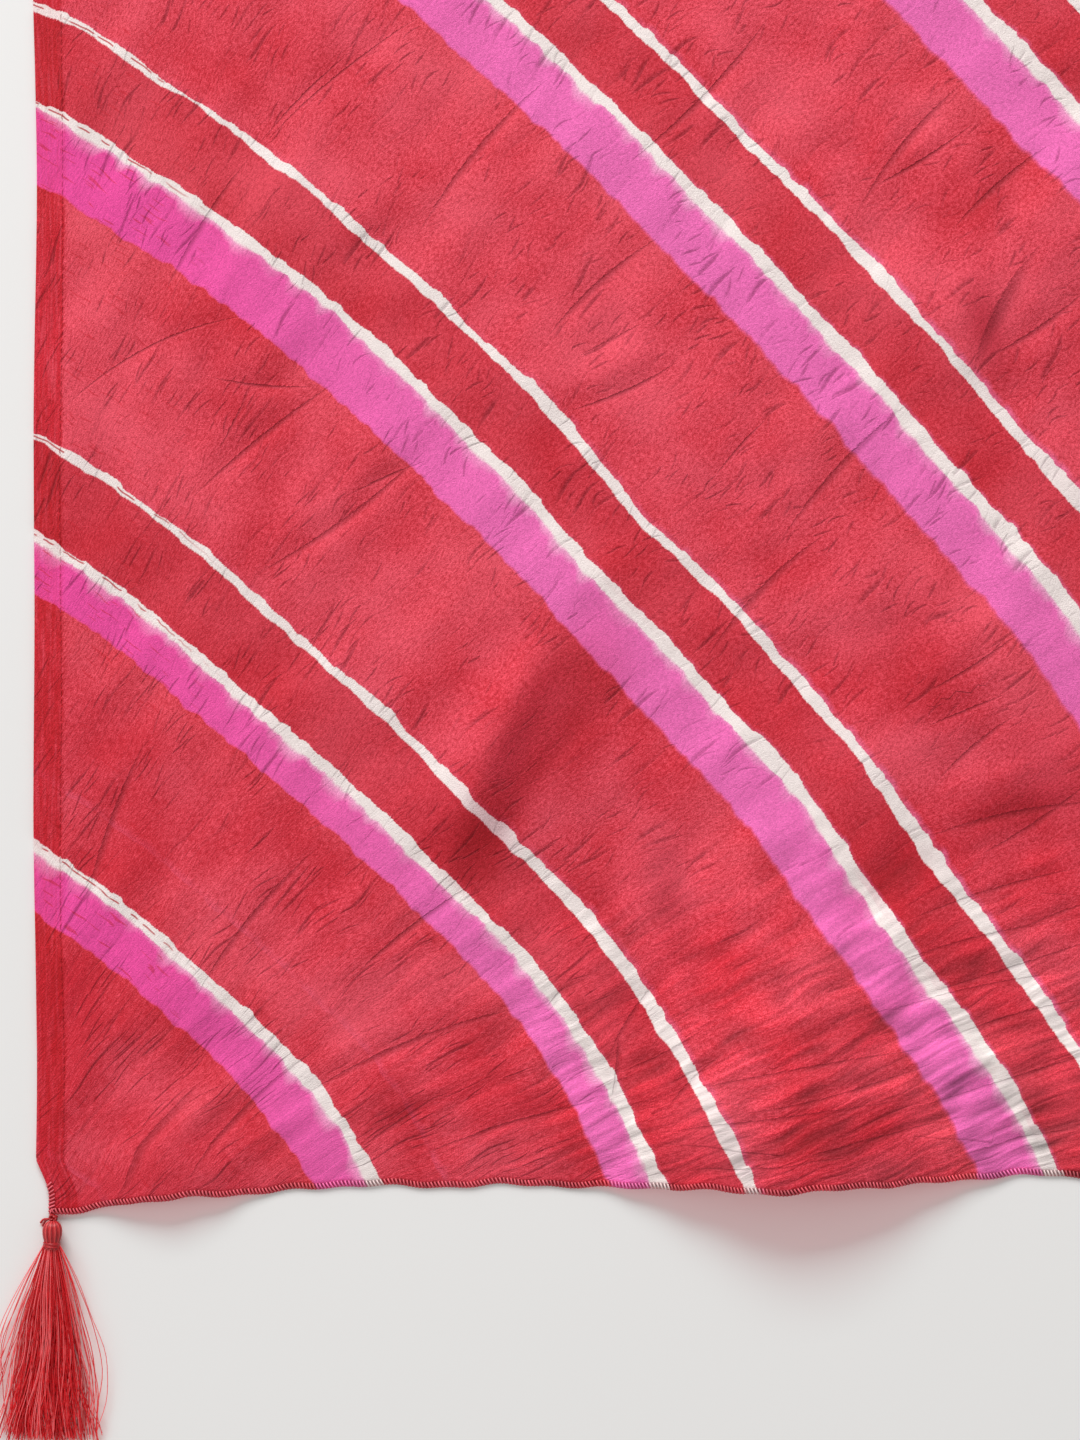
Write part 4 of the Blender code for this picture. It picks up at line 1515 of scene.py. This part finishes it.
def sewing_path(name, across, along, points):
    """A path that carries the cloth's own attributes, so that its thread is dyed like the cloth under it."""
    attributes = [
        ("dye_place", dye_place(across, along)),
        ("laid_place", laid_place(across, along, lift(across, along))),
        ("crinkle_place", crinkle_and_fold_shade(across, along)),
    ]
    no_lines = np.tile(NO_LINE, (len(across), 1))
    attributes += [(f"pressed_line_{i + 1}", no_lines) for i in range(HAND_LINES)]
    return path_mesh(name, [points], attributes)


def edge_mesh(end, raised=0.0):
    across, along = edge_path(end).T
    x, y = plan(across, along)
    from_side = np.maximum(np.minimum(across, CLOTH_WIDTH - across), FOLD_TOP)
    on_hem = hem_section(from_side, along)[1]
    z = SHELL / 2 + on_hem + lift(across, along) + relief(across, along) + raised
    return sewing_path(f"edge_path_{end}", across, along, np.stack([x, y, z], axis=1))


print("Each end takes about", round(CLOTH_WIDTH / STITCH_STEP), "stitches")


# %% The stitch tree
LOOP_STEPS = 6
LOOP_SIDES = 5
LOOP_TOP_IN = 0.0006
LOOP_END_OUT = 0.0003


def stitch_tree():
    sizes = dict.fromkeys(("Step", "Bite", "Slant", "Thickness"), FLOAT)
    tree, given, put_out = geometry_tree("overlock_stitches", Path=GEOMETRY, **sizes)
    line = wired(tree, "GeometryNodeMeshToCurve", Mesh=given["Path"])
    by_length = {"mode": "LENGTH"}
    even = wired(tree, "GeometryNodeResampleCurve", setup=by_length, Curve=line, Length=given["Step"])

    slant, thickness = given["Slant"], given["Thickness"]
    raised = thickness * 0.8
    start = vector_of(-slant, given["Bite"], raised * 0.6)
    top = vector_of(0.0, LOOP_TOP_IN, raised * 2.6)
    end = vector_of(slant, -LOOP_END_OUT, thickness * -0.5)
    bend = {"Resolution": LOOP_STEPS, "Start": start, "Middle": top, "End": end}
    loop = wired(tree, "GeometryNodeCurveQuadraticBezier", **bend)
    stitch = tube_along(tree, loop, LOOP_SIDES, thickness)

    way = wired(tree, "GeometryNodeInputTangent")
    axes = {"axis": "X", "pivot_axis": "Z"}
    turned_to = wired(tree, "FunctionNodeAlignRotationToVector", setup=axes, Vector=way)
    placed = {"Points": even, "Instance": stitch, "Rotation": turned_to}
    stitches = wired(tree, "GeometryNodeInstanceOnPoints", **placed)
    ended(tree, stitches, given["Finish"], put_out)
    return tree


overlock_stitches = stitch_tree()
print("The stitch tree has", len(overlock_stitches.nodes), "nodes")

# %% Sew both ends
OVERLOCK = {"Step": STITCH_STEP, "Bite": 0.0018, "Slant": 0.00050, "Thickness": 0.00062}
OVERLOCK_RAISED = 0.00008
LOOPER = {"Thickness": 0.0006, "Sides": 5}
PAINTED_GLINT = dye(255, 170, 178)
DARK_THREAD = dye(150, 12, 30)

# painted glints: the needle thread's stitches are washed paler
needle_thread = dyed_material("overlock_thread", 0.0, 0.2, wash=(0.20, PAINTED_GLINT))
# painted shade: the looper cord along the cut edge is washed darker
looper_thread = dyed_material("looper_thread", 0.0, 0.2, wash=(0.70, DARK_THREAD))
sewing = []
for end, name in ((0, "near"), (1, "far")):
    stitch_path = edge_mesh(end, raised=OVERLOCK_RAISED)
    stitches = grown(f"overlock_{name}", stitch_path, overlock_stitches, Finish=needle_thread, **OVERLOCK)
    cord = grown(f"edge_cord_{name}", edge_mesh(end), thread_tubes, Finish=looper_thread, **LOOPER)
    sewing += [stitches, cord]
print("The sewing has", sum(len(piece.data.polygons) for piece in sewing), "faces")

# %% [markdown]
# ## The hem's running stitch
# A row of short stitches holds each turned edge down, close to where the turning ends. The same tree
# makes it: with no bite and a long slant its little tube lies along the path and dips into the cloth at
# both ends.

# %% Sew both hems
HEM_STITCH = {"Step": 0.0030, "Bite": 0.0, "Slant": 0.0011, "Thickness": 0.00026}
HEM_STITCH_AT = 0.0098
HEM_STITCH_WANDER = 0.0003
HEM_STITCH_FROM = 0.016
HEM_PATH_STEPS = 900


def hem_stitch_mesh(side):
    along = np.linspace(HEM_STITCH_FROM, CLOTH_LENGTH - HEM_STITCH_FROM, HEM_PATH_STEPS)
    walk = np.full_like(along, HEM_STITCH_AT) + HEM_STITCH_WANDER * np.sin(along / 0.021)
    across, _, points = formed(CLOTH_WIDTH - walk if side else walk, along)
    points[:, 2] += SHELL / 2
    return sewing_path(f"hem_stitch_path_{side}", across, along, points)


hem_thread = dyed_material("hem_thread", 1.0, 0.2, wash=(0.30, DARK_THREAD))
for side, name in ((0, "left"), (1, "right")):
    stitch_path = hem_stitch_mesh(side)
    stitches = grown(f"hem_stitches_{name}", stitch_path, overlock_stitches, Finish=hem_thread, **HEM_STITCH)
    sewing.append(stitches)
print("With the hems, the sewing has", sum(len(piece.data.polygons) for piece in sewing), "faces")

# %% [markdown]
# ## The tassels
# A corner tassel is a hank of shiny silk-look thread, folded over its tie and bound round the neck. The
# threads are made one by one as paths in Python, because each follows its own bow and spread. The tube
# tree then gives them all their thickness at once. A few strays bow out on both sides, as on any tassel
# that has been handled.

# %% The paths of one tassel's threads, in its own frame
THREADS = 340
STRAYS = 24
THREAD_STEPS = 20
LOCKS_ACROSS = 5.5
LOCKS_DEEP = 2.0
LOCK_PULL = 0.22
TASSEL_LENGTH = 0.0820
NECK_RADIUS = 0.0022
SKIRT_HALF_WIDTH = 0.0155
SKIRT_HALF_HEIGHT = 0.0026
SKIRT_BASE = 0.0005
SKIRT_FROM = 0.0100
RAGGED_TIPS = 0.0055
SWAY, STRAY_SWAY = 0.0007, 0.0066
DRIFT, STRAY_DRIFT = 0.0021, 0.0062
GOLDEN_TURN = math.pi * (3 - math.sqrt(5))


def lock_of(rim, turn, fan):
    """A thread's lock: its middle from side to side, its wave's height, start and pitch, and its painted
    light and shade.
    """
    column = math.floor(LOCKS_ACROSS * rim * math.cos(turn))
    row = math.floor(LOCKS_DEEP * rim * math.sin(turn))
    own = random.Random(1000 * round(100 * fan) + 37 * column + row)
    middle = (column + 0.5 + own.uniform(-0.3, 0.3)) / LOCKS_ACROSS
    return middle, own.uniform(0.0006, 0.0019), own.uniform(0, math.tau), own.uniform(7.0, 11.0), own.random()


def thread_path(number, fan, chance, stray):
    rim = math.sqrt((number + 0.5) / THREADS)
    turn = number * GOLDEN_TURN
    if stray:
        rim = chance.uniform(0.9, 1.15)
        turn = chance.choice((0.0, math.pi)) + chance.gauss(0, 0.25)
    lock_middle, lock_wave, lock_start, lock_pitch, lock_shade = lock_of(rim, turn, fan)
    tip = TASSEL_LENGTH - RAGGED_TIPS * chance.random() ** 1.6
    wave_one, wave_two = chance.uniform(0, math.tau), chance.uniform(0, math.tau)
    sway = chance.gauss(0, SWAY) + (STRAY_SWAY * chance.random() * math.cos(turn) if stray else 0.0)
    drift = chance.gauss(0, DRIFT) + (STRAY_DRIFT * chance.random() * math.cos(turn) if stray else 0.0)
    wave = chance.uniform(0.0003, 0.0012)
    height_share = 0.5 + 0.5 * rim * math.sin(turn)
    path = []
    for step in range(THREAD_STEPS + 1):
        share = step / THREAD_STEPS
        out = SKIRT_FROM + (tip - SKIRT_FROM) * share
        spread = share * (1.22 - 0.18 * share)
        half_width = NECK_RADIUS + (SKIRT_HALF_WIDTH * fan - NECK_RADIUS) * spread
        pull = 0.0 if stray else LOCK_PULL * math.sin(math.pi * min(1.0, 1.3 * share))
        side = half_width * (rim * math.cos(turn) * (1 - pull) + lock_middle * pull)
        side += sway * math.sin(math.pi * share) + drift * share * share
        side += lock_wave * share * math.sin(lock_pitch * share + lock_start)
        quick_wave = 0.5 * wave * share * math.sin(19.0 * share + wave_two)
        side += wave * share * math.sin(8.0 * share + wave_one) + quick_wave
        neck_height = HEAD_HEIGHT + NECK_RADIUS * rim * math.sin(turn)
        laid_height = SKIRT_BASE + 2 * SKIRT_HALF_HEIGHT * height_share * (1 - 0.35 * share)
        settle = float(eased(np.float64(share * 2.2)))
        up = neck_height + (laid_height - neck_height) * settle
        up += 0.0005 * math.sin(13 * share + wave_two) * share
        path.append(Vector((side, out, max(0.0002, up) - HEAD_HEIGHT)))
    return path, 0.55 * lock_shade + 0.45 * chance.random()


def skirt_paths(fan, seed):
    chance = random.Random(seed)
    threads = [thread_path(number, fan, chance, False) for number in range(THREADS)]
    threads += [thread_path(0, fan, chance, True) for _ in range(STRAYS)]
    return zip(*threads)


print("Each tassel has", THREADS + STRAYS, "threads")

# %% The head, the winding and the knot, in the same frame
HEAD_PROFILE = (
    # from_corner, radius
    (0.0026, 0.0009),
    (0.0030, 0.0018),
    (0.0038, 0.0026),
    (0.0048, 0.0030),
    (0.0060, 0.0032),
    (0.0074, 0.0031),
    (0.0086, 0.0028),
    (0.0096, 0.0025),
    (0.0110, 0.0023),
    (0.0124, 0.0023),
)
HEAD_RIBS = 34
BAND_MARGIN = 0.00025
BAND_RADIUS = 0.00285
WINDING_TURNS, WINDING_STEPS = 5, 24
KNOT_TURNS, KNOT_STEPS = 3, 60
TAIL_END = 0.0004
TAIL_STEPS = 8
TAILS = (
    # reach, drop
    (0.0038, 0.0022),
    (0.0030, 0.0034),
)


def head_paths():
    """The threads that run over the head from its top to its neck, side by side."""
    paths = []
    for rib in range(HEAD_RIBS):
        turn = math.tau * rib / HEAD_RIBS
        path = []
        for from_corner, radius in HEAD_PROFILE:
            twist = turn + 14 * (from_corner - 0.007)
            path.append(Vector((radius * math.cos(twist), from_corner, radius * math.sin(twist))))
        paths.append(path)
    return paths


def winding_path():
    """The band's thread, wound round the neck from one edge of the band to the other."""
    steps = WINDING_TURNS * WINDING_STEPS
    path = []
    for i in range(steps + 1):
        turn = math.tau * i / WINDING_STEPS
        out = BAND_FROM + BAND_MARGIN + (BAND_TO - BAND_FROM - 2 * BAND_MARGIN) * i / steps
        radius = BAND_RADIUS + 0.00012 * math.sin(1.7 * turn)
        path.append(Vector((radius * math.cos(turn), out, radius * math.sin(turn))))
    return path


def knot_path(rise):
    """Thread wound loosely round itself at the corner."""
    path = []
    for i in range(KNOT_STEPS + 1):
        turn = math.tau * KNOT_TURNS * i / KNOT_STEPS
        radius = 0.00105 + 0.0002 * math.sin(2.3 * turn)
        side = radius * math.cos(turn)
        out = 0.00145 + 0.0008 * math.sin(turn * 0.97) + 0.0003 * math.sin(3.1 * turn)
        path.append(Vector((side, out, rise - HEAD_HEIGHT + 0.0008 * math.sin(turn * 1.31 + 0.6))))
    return path


def tail_paths(rise):
    """The two ends of the knot's thread, which lie down on the surface beside it."""
    paths = []
    for reach, drop in TAILS:
        path = []
        for i in range(TAIL_STEPS + 1):
            share = i / TAIL_STEPS
            side = 0.0010 + reach * share
            out = 0.0016 + drop * share * share + 0.0003 * math.sin(6 * share)
            up = (rise - HEAD_HEIGHT) * (1 - share) + (TAIL_END - HEAD_HEIGHT) * share
            path.append(Vector((side, out, up)))
        paths.append(path)
    return paths


print("The head is made of", HEAD_RIBS, "threads side by side")

# %% [markdown]
# ## Thread finish
# The tassel's thread shines along its length and is a deeper red than the cloth. Every thread carries its
# own value as an attribute, which mixes it between painted shade and a painted highlight, and the gloss
# breaks up along it, because the filaments are twisted.

# %% The thread's material
THREAD_RED = dye(240, 36, 46)
THREAD_PAINTED_SHADE = dye(184, 8, 20)
THREAD_PAINTED_HIGHLIGHT = dye(255, 128, 132)
THREAD_LIGHT_THROUGH = (0.74, 0.03, 0.05, 1.0)
BINDING_RED = dye(196, 30, 38)
BINDING_PAINTED_SHADE = dye(132, 10, 20)
BINDING_PAINTED_HIGHLIGHT = dye(236, 96, 92)


def thread_material(name, roughness, twist, shade_colour, middle, light):
    """twist is how quickly the grain of the filaments changes, in noise cells to the metre."""
    gloss = {"Specular_IOR_Level": 0.55, "Anisotropic": 0.4}
    made, tree, shader = new_material(name, Roughness=roughness, **gloss)
    shade = parts_of(carried(tree, "thread_light_and_shade"))[0]
    place = wired(tree, "ShaderNodeTexCoord", output="Object")
    grain = cloud(place, twist, 2.0, flat=False)
    # painted shade and highlights: the colour is mixed between shaded, middle and lit copies of the red
    colour = tinted(between(grain * 0.3 + shade * 0.8, 0.30, 0.75), shade_colour, middle)
    colour = tinted(between(shade, 0.62, 0.92, 0.0, 0.9), colour, light)
    rough = between(grain, 0.3, 0.7, roughness - 0.06, roughness + 0.10)
    feed(shader.inputs["Base Color"], colour)
    feed(shader.inputs["Roughness"], rough)
    feed(shader.inputs["Normal"], bumped(cloud(place, twist * 3, 1.0, flat=False), 0.0001, 0.35))
    let_light_through(tree, shader, THREAD_LIGHT_THROUGH)
    return made


silk_skirt = thread_material("silk_skirt", 0.26, 500.0, THREAD_PAINTED_SHADE, THREAD_RED, THREAD_PAINTED_HIGHLIGHT)
silk_binding = thread_material("silk_binding", 0.38, 1600.0, BINDING_PAINTED_SHADE, BINDING_RED, BINDING_PAINTED_HIGHLIGHT)
print("Two thread finishes are ready")


# %% Build the four tassels
def thread_piece(name, paths, shades, place, thickness, sides, finish):
    moved_paths = [[place @ point for point in path] for path in paths]
    values = [(shade, 0.0, 0.0) for shade, path in zip(shades, paths) for _ in path]
    mesh = path_mesh(name + "_paths", moved_paths, [("thread_light_and_shade", np.array(values))])
    return grown(name, mesh, thread_tubes, Thickness=thickness, Sides=sides, Finish=finish)


# each finish is a thickness, a number of sides and a material
SKIRT_FINISH = (0.00036, 3, silk_skirt)
HEAD_FINISH = (0.00072, 6, silk_binding)
BAND_FINISH = (0.00055, 6, silk_binding)
KNOT_FINISH = (0.00080, 6, silk_binding)
KNOT_HEIGHT = 0.0024
# the head's ribs are painted in three steps from shade towards light
HEAD_SHADES = [0.35 + 0.4 * (i % 3) / 2 for i in range(HEAD_RIBS)]
BAND_SHADES = [0.5]
KNOT_SHADES = [0.45, 0.6, 0.4]


def tassel(name, side, end, lean, fan, seed):
    """The skirt, the head, the band and the knot of one tassel."""
    place = tassel_place(side, end, lean, moved)
    corner = np.float64(CLOTH_WIDTH / 2 * (1 + side)), np.float64(CLOTH_LENGTH / 2 * (1 + end))
    knot_rise = KNOT_HEIGHT + float(lift(*corner))
    knot_lines = [knot_path(knot_rise)] + tail_paths(knot_rise)
    return (
        thread_piece(f"tassel_skirt_{name}", *skirt_paths(fan, seed), place, *SKIRT_FINISH),
        thread_piece(f"tassel_head_{name}", head_paths(), HEAD_SHADES, place, *HEAD_FINISH),
        thread_piece(f"neck_winding_{name}", [winding_path()], BAND_SHADES, place, *BAND_FINISH),
        thread_piece(f"corner_knot_{name}", knot_lines, KNOT_SHADES, place, *KNOT_FINISH),
    )


tassel_pieces = {row[0]: tassel(*row) for row in TASSELS}
faces = sum(len(piece.data.polygons) for pieces in tassel_pieces.values() for piece in pieces)
print("Four tassels, with", faces, "faces")

# %% [markdown]
# ## The pale floor and the light
# The photograph was taken on a plain pale surface, under one large soft light from the far side and much
# light thrown back by the room. An area lamp far larger than the folds gives the soft shadow below the
# near edge.

# %% Floor, lamps and room
FLOOR_SIZE = 12.0
FLOOR_BELOW = 0.0001
FLOOR_TONES = (dye(231, 230, 229), dye(235, 234, 233))
LAMPS = (
    # name, place, target, width, depth, power
    ("far_window", (-0.9, 2.7, 2.15), (-0.2, -0.8, 0.0), 2.6, 1.6, 182.0),
    ("left_fill", (-3.0, -1.4, 2.6), (0.0, -0.6, 0.0), 2.4, 2.4, 24.0),
)
ROOM_COLOUR = (1.0, 0.985, 0.965, 1.0)
ROOM_STRENGTH = 0.42


def pale_floor():
    mesh = bpy.data.meshes.new("pale_floor")
    half = FLOOR_SIZE / 2
    corners = [(x, y, -FLOOR_BELOW) for x, y in ((-half, -half), (half, -half), (half, half), (-half, half))]
    mesh.from_pydata(corners, [], [(0, 1, 2, 3)])
    made = bpy.data.objects.new("pale_floor", mesh)
    bpy.context.scene.collection.objects.link(made)
    finish, tree, shader = new_material("pale_floor", Roughness=0.75)
    place = wired(tree, "ShaderNodeTexCoord", output="Object")
    feed(shader.inputs["Base Color"], tinted(cloud(place, 1.6, 2.0), *FLOOR_TONES))
    mesh.materials.append(finish)
    return made


def soft_lamp(name, place, target, width, depth, power):
    data = bpy.data.lights.new(name, "AREA")
    data.shape = "RECTANGLE"
    data.size = width
    data.size_y = depth
    data.energy = power
    lamp = bpy.data.objects.new(name, data)
    lamp.location = place
    lamp.rotation_euler = (Vector(target) - Vector(place)).to_track_quat("-Z", "Y").to_euler()
    bpy.context.scene.collection.objects.link(lamp)
    return lamp


def bright_room():
    room = bpy.data.worlds.new("bright_room")
    room.use_nodes = True
    light = room.node_tree.nodes["Background"]
    light.inputs["Color"].default_value = ROOM_COLOUR
    light.inputs["Strength"].default_value = ROOM_STRENGTH
    return room


floor = pale_floor()
for row in LAMPS:
    soft_lamp(*row)
bpy.context.scene.world = bright_room()
bpy.context.scene.view_settings.view_transform = "Standard"
print("The floor,", len(LAMPS), "lamps and the room are set")

# %% [markdown]
# ## Hand the pieces to the frame
# Every piece rides on the root body, and the solids that the pieces stand in for are hidden.

# %% Tie every piece to the frame
cloth_solid = "cloth"
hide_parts(cloth_solid)
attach(cloth, "root")
for piece in sewing:
    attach(piece, "root")
for name, (skirt, head, band, knot) in tassel_pieces.items():
    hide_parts(f"tassel_{name}")
    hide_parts(f"tassel_{name}")
    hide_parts(f"band_{name}")
    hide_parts(f"tie_{name}")
    for piece in (skirt, head, band, knot):
        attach(piece, "root")
print("All pieces ride on the root body")
